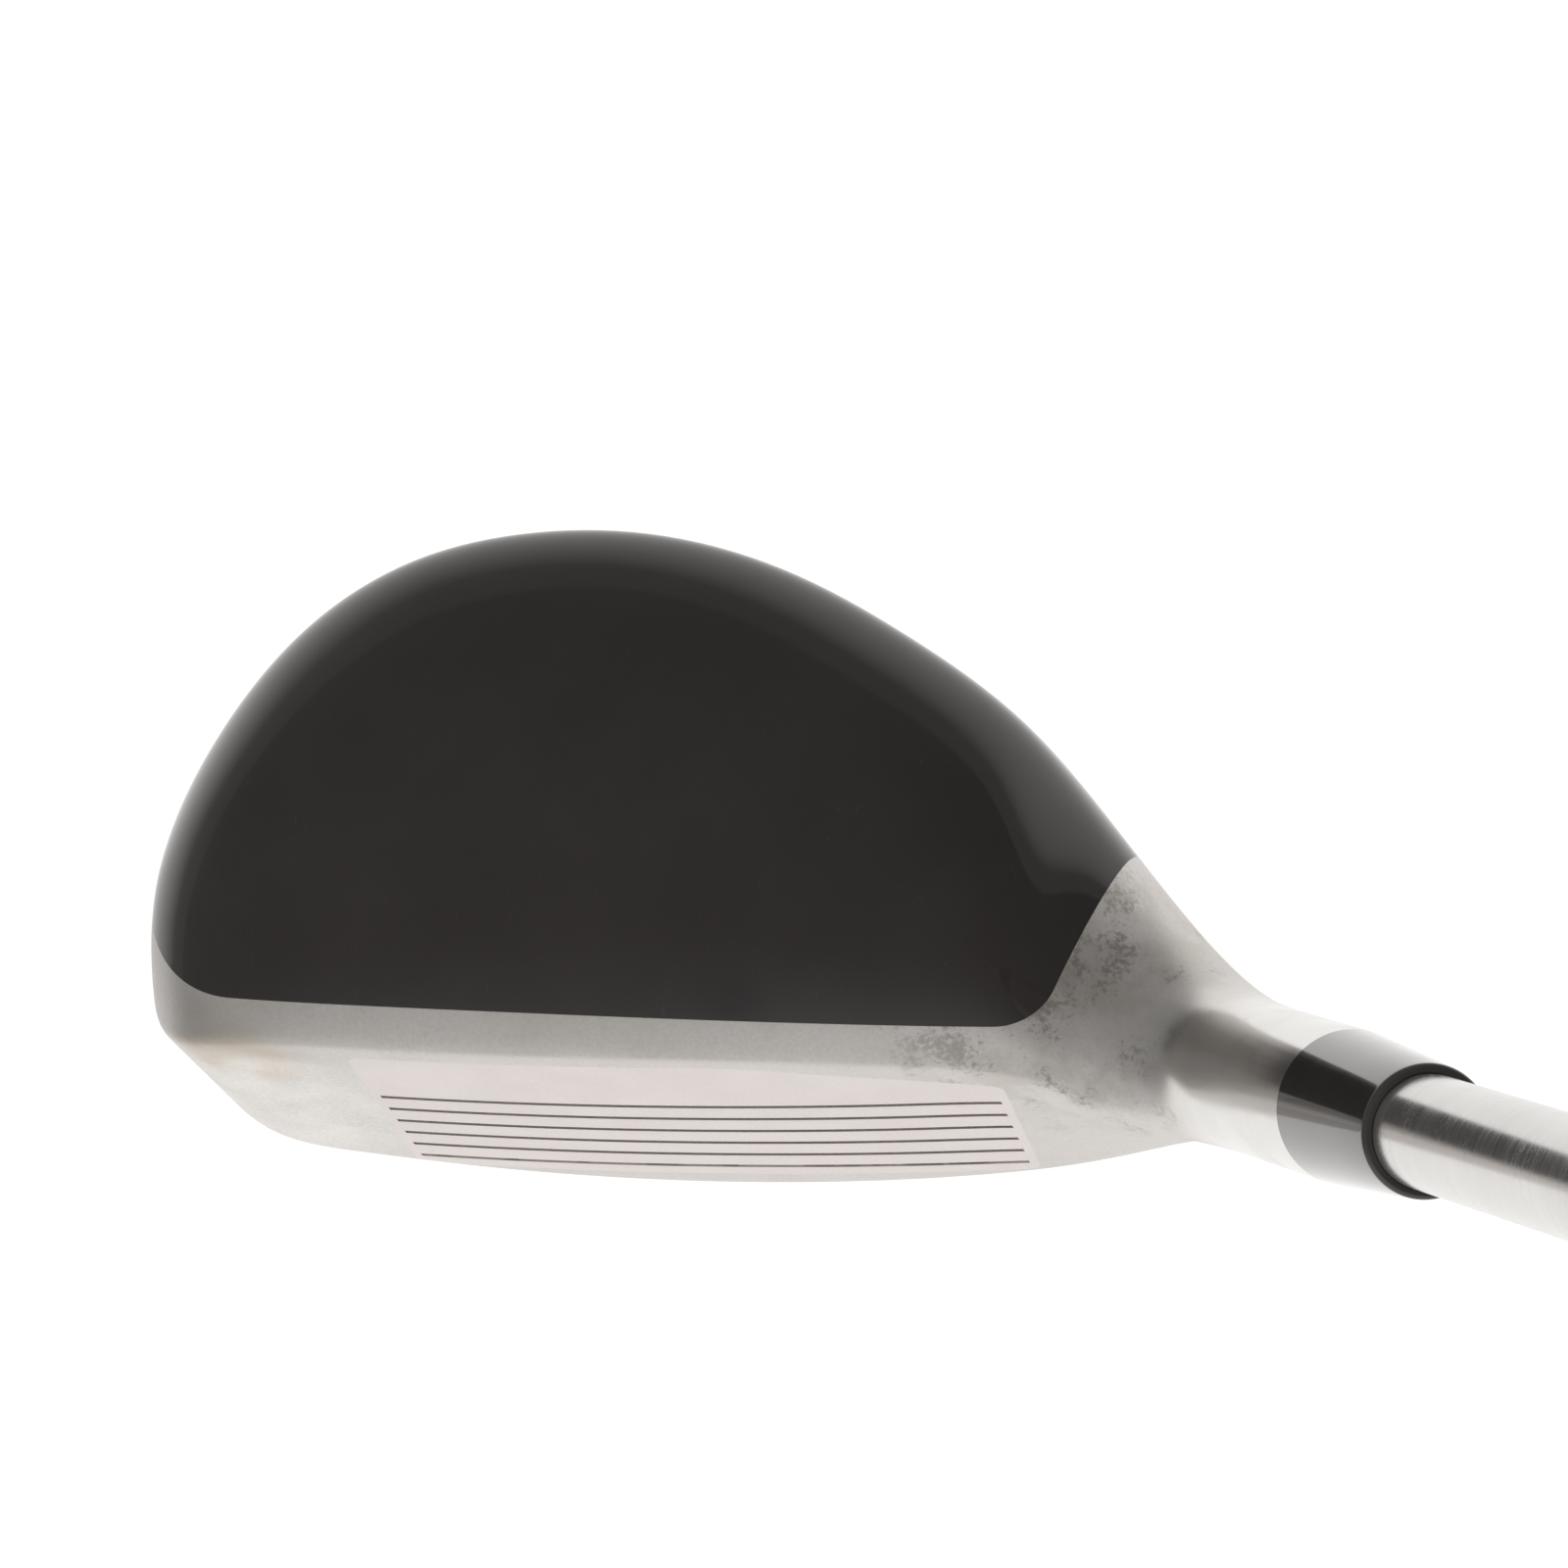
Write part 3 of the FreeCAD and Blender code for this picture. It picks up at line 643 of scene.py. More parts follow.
def layer_on_shaft(name, start, end, inner, outer):
    """A sleeve between two offsets from the shaft's outside."""
    places = shaft_places(start, end)
    outside = [(shaft_radius(place) + outer, place) for place in places]
    inside = [(shaft_radius(place) + inner, place) for place in reversed(places)]
    return turned(name, outside + inside)


def rounding(radius, distance, size, turns, start, sweep):
    """Points of an arc in an outline, about a centre: angles in degrees."""
    angles = [math.radians(start + sweep * i / turns) for i in range(turns + 1)]
    return [(radius + size * math.cos(a), distance + size * math.sin(a)) for a in angles]


def make_ferrule():
    """A tapered collar, flush with the hosel, with a rounded end."""
    bore = TIP_RADIUS + FERRULE_FIT
    end = HOSEL_TOP + FERRULE_LENGTH
    slope = (FERRULE_END_RADIUS - HOSEL_RADIUS) / FERRULE_LENGTH
    outline = [(bore, HOSEL_TOP), (HOSEL_RADIUS, HOSEL_TOP)]
    outline += [(HOSEL_RADIUS + slope * along, HOSEL_TOP + along) for along in (0.3, 6, 12, 18)]
    middle = FERRULE_END_RADIUS - FERRULE_ROUND
    outline += rounding(middle, end - FERRULE_ROUND, FERRULE_ROUND, 8, 0, 90)
    outline += [(bore + 0.05, end), (bore, end - 0.05)]
    return turned("ferrule_collar", outline)


def make_band():
    return layer_on_shaft("shaft_band_film", BAND_START, BAND_START + BAND_LENGTH, 0, BAND)


def grip_radius(distance):
    """The grip's long taper, then its flare to the butt."""
    mouth = GRIP_START + GRIP_MOUTH_ROUND
    upper = CLUB_LENGTH - GRIP_UPPER_PLACE
    slope = (GRIP_UPPER_RADIUS - GRIP_MOUTH_RADIUS) / (upper - mouth)
    if distance <= upper:
        return GRIP_MOUTH_RADIUS + slope * (distance - mouth)
    length = SHAFT_END - upper
    share = (distance - upper) / length
    start_tangent = slope * GRIP_UPPER_PLACE
    end_tangent = GRIP_BUTT_SLOPE * GRIP_UPPER_PLACE
    square = share * share
    cube = square * share
    return (
        GRIP_UPPER_RADIUS * (2 * cube - 3 * square + 1)
        + start_tangent * (cube - 2 * square + share)
        + GRIP_BUTT_RADIUS * (3 * square - 2 * cube)
        + end_tangent * (cube - square)
    )


def make_grip():
    """The rubber sleeve, with rows of small moulded pockets between plain bands."""
    start = GRIP_START + GRIP_MOUTH_ROUND
    row_length = (SHAFT_END - start) / GRIP_ROWS
    places = [start + row_length * i for i in range(GRIP_ROWS + 1)]
    middle = GRIP_MOUTH_RADIUS - GRIP_MOUTH_ROUND
    outline = rounding(middle, start, GRIP_MOUTH_ROUND, 5, -90, 90)[:-1]
    outline += [(grip_radius(place), place) for place in places]
    inside = reversed(shaft_places(GRIP_START, SHAFT_END))
    outline += [(shaft_radius(place) + TAPE, place) for place in inside]
    sleeve = turned("grip_rubber_sleeve", outline, GRIP_SIDES)
    axis = Vector(SHAFT_AXIS)
    below = Vector((math.sin(LIE), 0, -math.cos(LIE)))
    for polygon in sleeve.data.polygons:
        from_ground = polygon.center - Vector((AXIS_AT_GROUND * MM, 0, 0))
        distance = from_ground.dot(axis) / MM
        out = from_ground - axis * distance * MM
        row = math.floor((distance - start) / row_length)
        side = math.floor(math.atan2(out.y, out.dot(below)) / (2 * math.pi) * GRIP_SIDES)
        outer = out.length > (grip_radius(distance) - 0.3) * MM and polygon.normal.dot(out) > 0
        in_field = 8 <= row < GRIP_ROWS - 7 and row % 28 > 1
        staggered = (row + 2 * (side % 2)) % 4 < 2 and side % 2 == 0
        polygon.select = outer and in_field and staggered
    take(sleeve)
    for vertex in sleeve.data.vertices:
        vertex.select = False
    bpy.ops.object.mode_set(mode="EDIT")
    bpy.ops.mesh.select_mode(type="FACE")
    bpy.ops.mesh.inset(thickness=POCKET_INSET * MM, depth=-POCKET_DEPTH * MM, use_individual=False)
    bpy.ops.mesh.select_mode(type="VERT")
    leave_edit()
    return sleeve


def make_cap():
    """The moulded end of the grip, with a vent and two shallow rings round it."""
    end = CLUB_LENGTH
    outline = [(VENT_RADIUS, SHAFT_END), (GRIP_BUTT_RADIUS, SHAFT_END)]
    outline += rounding(GRIP_BUTT_RADIUS - CAP_ROUND, end - CAP_ROUND, CAP_ROUND, 10, 0, 90)
    floor = end - CAP_RING_DEPTH
    for radius in CAP_RINGS:
        inner = radius - CAP_RING_WIDTH
        outline += [(radius, end), (radius - CAP_RING_SLOPE, floor)]
        outline += [(inner + CAP_RING_SLOPE, floor), (inner, end)]
    outline += [(VENT_RADIUS + VENT_EDGE, end), (VENT_RADIUS, end - VENT_EDGE)]
    return turned("grip_end_cap", outline)


# ---- shader helpers --------------------------------------------------------------------------

def add(tree, kind, inputs=None, **settings):
    """Adds a shader node, sets its options, and fills its inputs with values or links."""
    node = tree.nodes.new("ShaderNode" + kind)
    for name, value in settings.items():
        setattr(node, name, value)
    for socket, value in (inputs or {}).items():
        if isinstance(value, bpy.types.NodeSocket):
            tree.links.new(value, node.inputs[socket])
        else:
            node.inputs[socket].default_value = value
    return node


def maths(tree, operation, first, second=0.0, third=0.0, clamp=False):
    node = add(tree, "Math", {0: first, 1: second, 2: third}, operation=operation, use_clamp=clamp)
    return node.outputs[0]


def between(tree, value, low, high, start=0.0, end=1.0):
    """A smooth ramp of a value from one level to another."""
    inputs = {"Value": value, "From Min": low, "From Max": high, "To Min": start, "To Max": end}
    node = add(tree, "MapRange", inputs, interpolation_type="SMOOTHSTEP")
    return node.outputs[0]


def blend(tree, share, first, second):
    """Mixes two colours."""
    return add(tree, "Mix", {0: share, 6: first, 7: second}, data_type="RGBA").outputs[2]


def noise(tree, vector, scale, detail=2.0, roughness=0.5):
    inputs = {"Vector": vector, "Scale": scale, "Detail": detail, "Roughness": roughness}
    return add(tree, "TexNoise", inputs).outputs[0]


def along(tree, vector, direction):
    """How far a point lies along a direction, in metres."""
    node = add(tree, "VectorMath", {0: vector, 1: direction}, operation="DOT_PRODUCT")
    return node.outputs["Value"]


def near(tree, vector, centre, reach, softness=0.5):
    """1 at a point, falling to 0 at a reach from it; both in millimetres."""
    inputs = {0: vector, 1: Vector(centre) * MM}
    distance = add(tree, "VectorMath", inputs, operation="DISTANCE").outputs["Value"]
    return between(tree, distance, reach * (1 - softness) * MM, reach * MM, 1.0, 0.0)


def new_group(name, inputs, outputs):
    """A shader node group with named sockets: (name, type, default) and (name, type)."""
    group = bpy.data.node_groups.new(name, "ShaderNodeTree")
    for label, kind, default in inputs:
        socket = group.interface.new_socket(name=label, in_out="INPUT", socket_type="NodeSocket" + kind)
        if default is not None:
            socket.default_value = default
    for label, kind in outputs:
        group.interface.new_socket(name=label, in_out="OUTPUT", socket_type="NodeSocket" + kind)
    given = group.nodes.new("NodeGroupInput").outputs
    result = group.nodes.new("NodeGroupOutput").inputs
    return group, given, result


def use(tree, group, inputs):
    """Places a group in a material and returns its outputs."""
    node = tree.nodes.new("ShaderNodeGroup")
    node.node_tree = group
    for socket, value in inputs.items():
        if isinstance(value, bpy.types.NodeSocket):
            tree.links.new(value, node.inputs[socket])
        else:
            node.inputs[socket].default_value = value
    return node.outputs


# ---- shared effects --------------------------------------------------------------------------

def grain_group():
    """A blasted or moulded grain: its height, and slow mottling of its tone."""
    group, given, result = new_group(
        "surface grain",
        [("Vector", "Vector", None), ("Grain", "Float", 0.4), ("Patch", "Float", 6.0)],
        [("Height", "Float"), ("Speckle", "Float"), ("Mottle", "Float")],
    )
    fine_scale = maths(group, "DIVIDE", 1000.0, given["Grain"])
    patch_scale = maths(group, "DIVIDE", 1000.0, given["Patch"])
    fine = noise(group, given["Vector"], fine_scale, 3.0, 0.6)
    cells = add(group, "TexVoronoi", {"Vector": given["Vector"], "Scale": fine_scale}, feature="F1")
    pits = between(group, cells.outputs["Distance"], 0.0, 0.7)
    height = maths(group, "MULTIPLY_ADD", pits, 0.4, maths(group, "MULTIPLY", fine, 0.6))
    group.links.new(height, result["Height"])
    group.links.new(between(group, fine, 0.3, 0.7), result["Speckle"])
    slow = noise(group, given["Vector"], patch_scale, 4.0, 0.55)
    group.links.new(between(group, slow, 0.3, 0.7), result["Mottle"])
    return group


def spots_group():
    """Clusters of small spots, such as tarnish, rust or chips: a mask."""
    group, given, result = new_group(
        "spots",
        [
            ("Vector", "Vector", None),
            ("Size", "Float", 0.5),
            ("Cluster", "Float", 8.0),
            ("Amount", "Float", 0.3),
        ],
        [("Mask", "Float")],
    )
    scale = maths(group, "DIVIDE", 1000.0, given["Size"])
    cluster_scale = maths(group, "DIVIDE", 1000.0, given["Cluster"])
    dots = noise(group, given["Vector"], scale, 3.0, 0.65)
    clusters = noise(group, given["Vector"], cluster_scale, 2.0, 0.5)
    level = maths(group, "MULTIPLY_ADD", given["Amount"], -0.35, 0.78)
    both = maths(group, "MULTIPLY_ADD", clusters, 0.55, maths(group, "MULTIPLY", dots, 0.45))
    top = maths(group, "ADD", level, 0.12)
    group.links.new(between(group, both, level, top), result["Mask"])
    return group


def scratches_group():
    """Fine straight scratches in two directions: a mask."""
    group, given, result = new_group(
        "scratches",
        [("Vector", "Vector", None), ("Spacing", "Float", 1.0), ("Amount", "Float", 0.3)],
        [("Mask", "Float")],
    )
    scale = maths(group, "DIVIDE", 1000.0, given["Spacing"])
    masks = []
    for turn, stretch in ((0.35, 0.04), (-0.9, 0.06), (1.9, 0.05)):
        inputs = {"Vector": given["Vector"], "Rotation": (0.2, turn * 0.3, turn), "Scale": (1, stretch, 1)}
        turned_vector = add(group, "Mapping", inputs).outputs[0]
        lines = noise(group, turned_vector, scale, 1.0, 0.5)
        gap = maths(group, "ABSOLUTE", maths(group, "SUBTRACT", lines, 0.5))
        width = maths(group, "MULTIPLY", given["Amount"], 0.012)
        masks.append(maths(group, "SUBTRACT", 1.0, maths(group, "DIVIDE", gap, width), clamp=True))
    either = maths(group, "MAXIMUM", masks[0], maths(group, "MAXIMUM", masks[1], masks[2]))
    breaks = between(group, noise(group, given["Vector"], 260.0, 3.0, 0.6), 0.5, 0.62)
    group.links.new(maths(group, "MULTIPLY", either, breaks), result["Mask"])
    return group


GRAIN = grain_group()
SPOTS = spots_group()
SCRATCHES = scratches_group()


# ---- materials -------------------------------------------------------------------------------

class Finish:
    """A new material: its tree, its Object coordinates, and its Principled shader."""

    def __init__(self, name, **constants):
        self.material = bpy.data.materials.new(name)
        self.material.use_nodes = True
        self.tree = self.material.node_tree
        self.shader = self.tree.nodes["Principled BSDF"]
        self.place = add(self.tree, "TexCoord").outputs["Object"]
        for socket, value in constants.items():
            self.shader.inputs[socket.replace("_", " ")].default_value = value

    def on_shaft(self):
        """Coordinates with +Z along the shaft's axis."""
        inputs = {
            "Vector": self.place,
            "Location": (AXIS_AT_GROUND * MM, 0, 0),
            "Rotation": (0, math.pi / 2 - LIE, 0),
        }
        return add(self.tree, "Mapping", inputs, vector_type="TEXTURE").outputs[0]

    def drive(self, socket, value):
        self.tree.links.new(value, self.shader.inputs[socket])

    def bump(self, height, depth, strength=1.0):
        """Raises the surface by a height, in millimetres at full height."""
        inputs = {"Height": height, "Distance": depth * MM, "Strength": strength}
        self.drive("Normal", add(self.tree, "Bump", inputs).outputs[0])


def cast_steel():
    """Blasted stainless round the face and heel, satin on the hosel, brighter on toe and sole, with
    painted shade darkening the top edge of the toe.
    """
    finish = Finish("cast_steel")
    tree = finish.tree
    grain = use(tree, GRAIN, {"Vector": finish.place, "Grain": 0.35, "Patch": 7.0})
    tarnish = use(tree, SPOTS, {"Vector": finish.place, "Size": 0.5, "Cluster": 4.5, "Amount": 0.75})
    scratches = use(tree, SCRATCHES, {"Vector": finish.place, "Spacing": 0.6, "Amount": 0.5})
    hosel = between(tree, along(tree, finish.place, SHAFT_AXIS), 0.0400, 0.0540)
    # painted shade: above this height the top edge of the toe is made darker than the steel below it
    toe_top_painted_shade = between(tree, along(tree, finish.place, (0, 0, 1)), 0.0290, 0.0335)
    toe = near(tree, finish.place, (-45, -5, 20), 24, 0.6)
    heel = near(tree, finish.place, (36, 6, 30), 22, 0.7)
    toe_wear = near(tree, finish.place, (-40, -3, 33), 11, 0.7)

    plain = blend(tree, grain["Mottle"], (0.67, 0.645, 0.62, 1), (0.77, 0.745, 0.725, 1))
    # the polished toe's bright tone, turning to painted shade along its top edge
    toe_polish_and_painted_shade = blend(tree, toe_top_painted_shade, (0.84, 0.825, 0.805, 1), (0.50, 0.49, 0.475, 1))
    clean = blend(tree, toe, plain, toe_polish_and_painted_shade)
    speckled = blend(tree, maths(tree, "MULTIPLY", grain["Speckle"], 0.25), clean, (0.52, 0.49, 0.46, 1))
    tarnish_share = maths(tree, "MULTIPLY", tarnish["Mask"], maths(tree, "MULTIPLY_ADD", heel, 0.6, 0.08))
    cloud = between(tree, noise(tree, finish.place, 190.0, 5.0, 0.6), 0.42, 0.62)
    cloud_share = maths(tree, "MULTIPLY", cloud, maths(tree, "MULTIPLY", heel, 0.45))
    clouded = blend(tree, cloud_share, speckled, (0.47, 0.44, 0.39, 1))
    stained = blend(tree, tarnish_share, clouded, (0.27, 0.25, 0.21, 1))
    warm_share = maths(tree, "MULTIPLY", toe_wear, maths(tree, "MULTIPLY_ADD", grain["Mottle"], 0.4, 0.15))
    warm = blend(tree, warm_share, stained, (0.62, 0.47, 0.28, 1))
    polished = blend(tree, hosel, warm, (0.70, 0.69, 0.675, 1))
    finish.drive("Base Color", polished)
    finish.drive("Metallic", maths(tree, "MULTIPLY_ADD", hosel, 0.08, 0.92))

    rough = between(tree, grain["Mottle"], 0.0, 1.0, 0.46, 0.56)
    rough_scratched = maths(tree, "MULTIPLY_ADD", scratches["Mask"], -0.1, rough)
    satin_rough = maths(tree, "MULTIPLY_ADD", hosel, -0.3, rough_scratched)
    finish.drive("Roughness", satin_rough)
    level = maths(tree, "MULTIPLY_ADD", hosel, -0.85, 1.0)
    finish.bump(maths(tree, "MULTIPLY", grain["Height"], level), 0.012)
    return finish.material


def face_steel():
    """The face plate: blasted, slightly warm, with a few rubbed marks."""
    finish = Finish("face_steel", Metallic=1.0)
    tree = finish.tree
    grain = use(tree, GRAIN, {"Vector": finish.place, "Grain": 0.3, "Patch": 9.0})
    marks = use(tree, SCRATCHES, {"Vector": finish.place, "Spacing": 0.8, "Amount": 0.45})
    spots = use(tree, SPOTS, {"Vector": finish.place, "Size": 0.5, "Cluster": 5.0, "Amount": 0.2})
    clean = blend(tree, grain["Mottle"], (0.72, 0.675, 0.655, 1), (0.78, 0.735, 0.715, 1))
    speckled = blend(tree, maths(tree, "MULTIPLY", grain["Speckle"], 0.2), clean, (0.55, 0.51, 0.49, 1))
    spotted = blend(tree, maths(tree, "MULTIPLY", spots["Mask"], 0.35), speckled, (0.40, 0.33, 0.29, 1))
    finish.drive("Base Color", spotted)
    rough = between(tree, grain["Mottle"], 0.0, 1.0, 0.4, 0.5)
    finish.drive("Roughness", maths(tree, "MULTIPLY_ADD", marks["Mask"], -0.12, rough))
    finish.bump(grain["Height"], 0.012)
    return finish.material


def crown_paint():
    """Gloss black lacquer with fine swirl marks and a rubbed smudge."""
    finish = Finish(
        "crown_paint",
        Metallic=0.0,
        IOR=1.5,
        Coat_Weight=1.0,
        Coat_IOR=1.5,
        Specular_IOR_Level=0.0,
    )
    tree = finish.tree
    grain = use(tree, GRAIN, {"Vector": finish.place, "Grain": 0.5, "Patch": 14.0})
    swirls = use(tree, SCRATCHES, {"Vector": finish.place, "Spacing": 1.4, "Amount": 0.22})
    smudge = near(tree, finish.place, (7, 7, 37), 5, 0.9)
    broken = maths(tree, "MULTIPLY", smudge, maths(tree, "MULTIPLY", grain["Mottle"], 0.6))
    black = blend(tree, grain["Mottle"], (0.0230, 0.0195, 0.0185, 1), (0.0275, 0.0235, 0.0225, 1))
    swirled = blend(tree, maths(tree, "MULTIPLY", swirls["Mask"], 0.10), black, (0.12, 0.11, 0.11, 1))
    finish.drive("Base Color", blend(tree, broken, swirled, (0.004, 0.004, 0.005, 1)))
    finish.drive("Roughness", between(tree, grain["Mottle"], 0.0, 1.0, 0.22, 0.3))
    finish.shader.inputs["Coat Roughness"].default_value = 0.06
    finish.bump(grain["Mottle"], 0.004, 0.4)
    return finish.material


def scoreline_paint():
    """Dark paint in the scorelines, worn through to bright metal low on the face."""
    finish = Finish("scoreline_paint")
    tree = finish.tree
    grain = use(tree, GRAIN, {"Vector": finish.place, "Grain": 0.35, "Patch": 4.0})
    up_face = along(tree, finish.place, (0.0, math.sin(LOFT), math.cos(LOFT)))
    height = maths(tree, "ADD", up_face, FACE_PROGRESSION * MM * math.sin(LOFT))
    low = between(tree, height, (GROOVE_LOWEST + 0.8) * MM, (GROOVE_LOWEST + 2.2) * MM, 1.0, 0.0)
    chips = between(tree, grain["Mottle"], 0.35, 0.55)
    worn = maths(tree, "MULTIPLY", low, chips)
    paint = blend(tree, grain["Speckle"], (0.13, 0.115, 0.105, 1), (0.22, 0.20, 0.185, 1))
    finish.drive("Base Color", blend(tree, worn, paint, (0.7, 0.67, 0.64, 1)))
    finish.drive("Metallic", worn)
    finish.drive("Roughness", between(tree, grain["Speckle"], 0.0, 1.0, 0.55, 0.8))
    finish.bump(grain["Height"], 0.04)
    return finish.material


def gloss_black():
    """The ferrule: turned and polished black plastic with faint lathe lines."""
    finish = Finish("ferrule_plastic", IOR=1.52, Coat_Weight=0.9, Coat_Roughness=0.03)
    tree = finish.tree
    shaft_place = finish.on_shaft()
    lathe = add(tree, "Mapping", {"Vector": shaft_place, "Scale": (0.02, 0.02, 1)}).outputs[0]
    lines = noise(tree, lathe, 3200.0, 2.0, 0.5)
    scuffs = use(tree, SCRATCHES, {"Vector": finish.place, "Spacing": 0.7, "Amount": 0.35})
    black = blend(tree, lines, (0.027, 0.025, 0.023, 1), (0.034, 0.031, 0.029, 1))
    scuffed = maths(tree, "MULTIPLY", scuffs["Mask"], 0.2)
    finish.drive("Base Color", blend(tree, scuffed, black, (0.1, 0.09, 0.09, 1)))
    finish.drive("Roughness", between(tree, lines, 0.3, 0.7, 0.10, 0.18))
    finish.bump(lines, 0.002, 0.5)
    return finish.material


def chrome():
    """The shaft: bright plating over polished steel with small scratches."""
    finish = Finish("shaft_chrome", Metallic=0.9)
    tree = finish.tree
    shaft_place = finish.on_shaft()
    lathe = add(tree, "Mapping", {"Vector": shaft_place, "Scale": (0.05, 0.05, 1)}).outputs[0]
    polish = noise(tree, lathe, 2400.0, 3.0, 0.6)
    scuffs = use(tree, SCRATCHES, {"Vector": shaft_place, "Spacing": 0.9, "Amount": 0.4})
    haze = use(tree, GRAIN, {"Vector": shaft_place, "Grain": 0.8, "Patch": 20.0})
    plated = blend(tree, haze["Mottle"], (0.64, 0.63, 0.62, 1), (0.70, 0.69, 0.68, 1))
    scuffed = maths(tree, "MULTIPLY", scuffs["Mask"], 0.4)
    finish.drive("Base Color", blend(tree, scuffed, plated, (0.5, 0.49, 0.48, 1)))
    rough = between(tree, polish, 0.3, 0.7, 0.17, 0.24)
    finish.drive("Roughness", maths(tree, "MULTIPLY_ADD", scuffs["Mask"], 0.2, rough))
    finish.bump(polish, 0.001, 0.5)
    return finish.material


def film():
    """A satin band on the shaft: dark, with two fine bright rings."""
    finish = Finish("band_film", Coat_Weight=0.5, Coat_Roughness=0.15)
    tree = finish.tree
    distance = along(tree, finish.on_shaft(), (0, 0, 1))
    start = BAND_START * MM
    length = BAND_LENGTH * MM
    ring_share = 0.0
    for place in (0.12, 0.88):
        away = maths(tree, "ABSOLUTE", maths(tree, "SUBTRACT", distance, start + length * place))
        ring = between(tree, away, 0.0009, 0.0011, 1.0, 0.0)
        ring_share = maths(tree, "MAXIMUM", ring, ring_share)
    grain = use(tree, GRAIN, {"Vector": finish.place, "Grain": 0.3, "Patch": 10.0})
    dark = blend(tree, grain["Mottle"], (0.018, 0.018, 0.02, 1), (0.03, 0.03, 0.033, 1))
    finish.drive("Base Color", blend(tree, ring_share, dark, (0.6, 0.6, 0.6, 1)))
    finish.drive("Metallic", ring_share)
    finish.drive("Roughness", between(tree, grain["Speckle"], 0.0, 1.0, 0.3, 0.4))
    finish.bump(grain["Height"], 0.003)
    return finish.material


def rubber(name, dark, light):
    """Moulded rubber: matt, a little dusty, with a fine grain."""
    finish = Finish(name, IOR=1.5)
    finish.shader.inputs["Specular IOR Level"].default_value = 0.35
    tree = finish.tree
    grain = use(tree, GRAIN, {"Vector": finish.place, "Grain": 0.5, "Patch": 18.0})
    tone = blend(tree, grain["Mottle"], dark, light)
    dust = maths(tree, "MULTIPLY", grain["Speckle"], 0.2)
    finish.drive("Base Color", blend(tree, dust, tone, (0.05, 0.049, 0.048, 1)))
    finish.drive("Roughness", between(tree, grain["Mottle"], 0.0, 1.0, 0.62, 0.8))
    finish.bump(grain["Height"], 0.05)
    return finish.material


def plain_metal(name, dark, light, rough):
    """Machined metal that is out of sight or small: grain, tone and scratches."""
    finish = Finish(name, Metallic=1.0)
    tree = finish.tree
    grain = use(tree, GRAIN, {"Vector": finish.place, "Grain": 0.4, "Patch": 5.0})
    scuffs = use(tree, SCRATCHES, {"Vector": finish.place, "Spacing": 0.7, "Amount": 0.5})
    tone = blend(tree, grain["Mottle"], dark, light)
    finish.drive("Base Color", blend(tree, maths(tree, "MULTIPLY", scuffs["Mask"], 0.4), tone, light))
    finish.drive("Roughness", between(tree, grain["Mottle"], 0.0, 1.0, rough, rough + 0.12))
    finish.bump(grain["Height"], 0.01)
    return finish.material


def filler(name, dark, light, rough):
    """Glue, filler or tape: mottled and slightly uneven."""
    finish = Finish(name)
    tree = finish.tree
    grain = use(tree, GRAIN, {"Vector": finish.place, "Grain": 0.6, "Patch": 4.0})
    finish.drive("Base Color", blend(tree, grain["Mottle"], dark, light))
    finish.drive("Roughness", between(tree, grain["Speckle"], 0.0, 1.0, rough, rough + 0.15))
    finish.bump(grain["Height"], 0.04)
    return finish.material


# ---- the club --------------------------------------------------------------------------------

def dress(obj, material, slot, *nodes):
    """Gives a new piece its finish and its place in the model."""
    obj.data.materials.clear()
    obj.data.materials.append(material)
    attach(obj, "root")
    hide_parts(*nodes)


def recolour(node, material):
    """Gives a CAD node that stays its finish."""
    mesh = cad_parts[node].data
    mesh.materials.clear()
    mesh.materials.append(material)


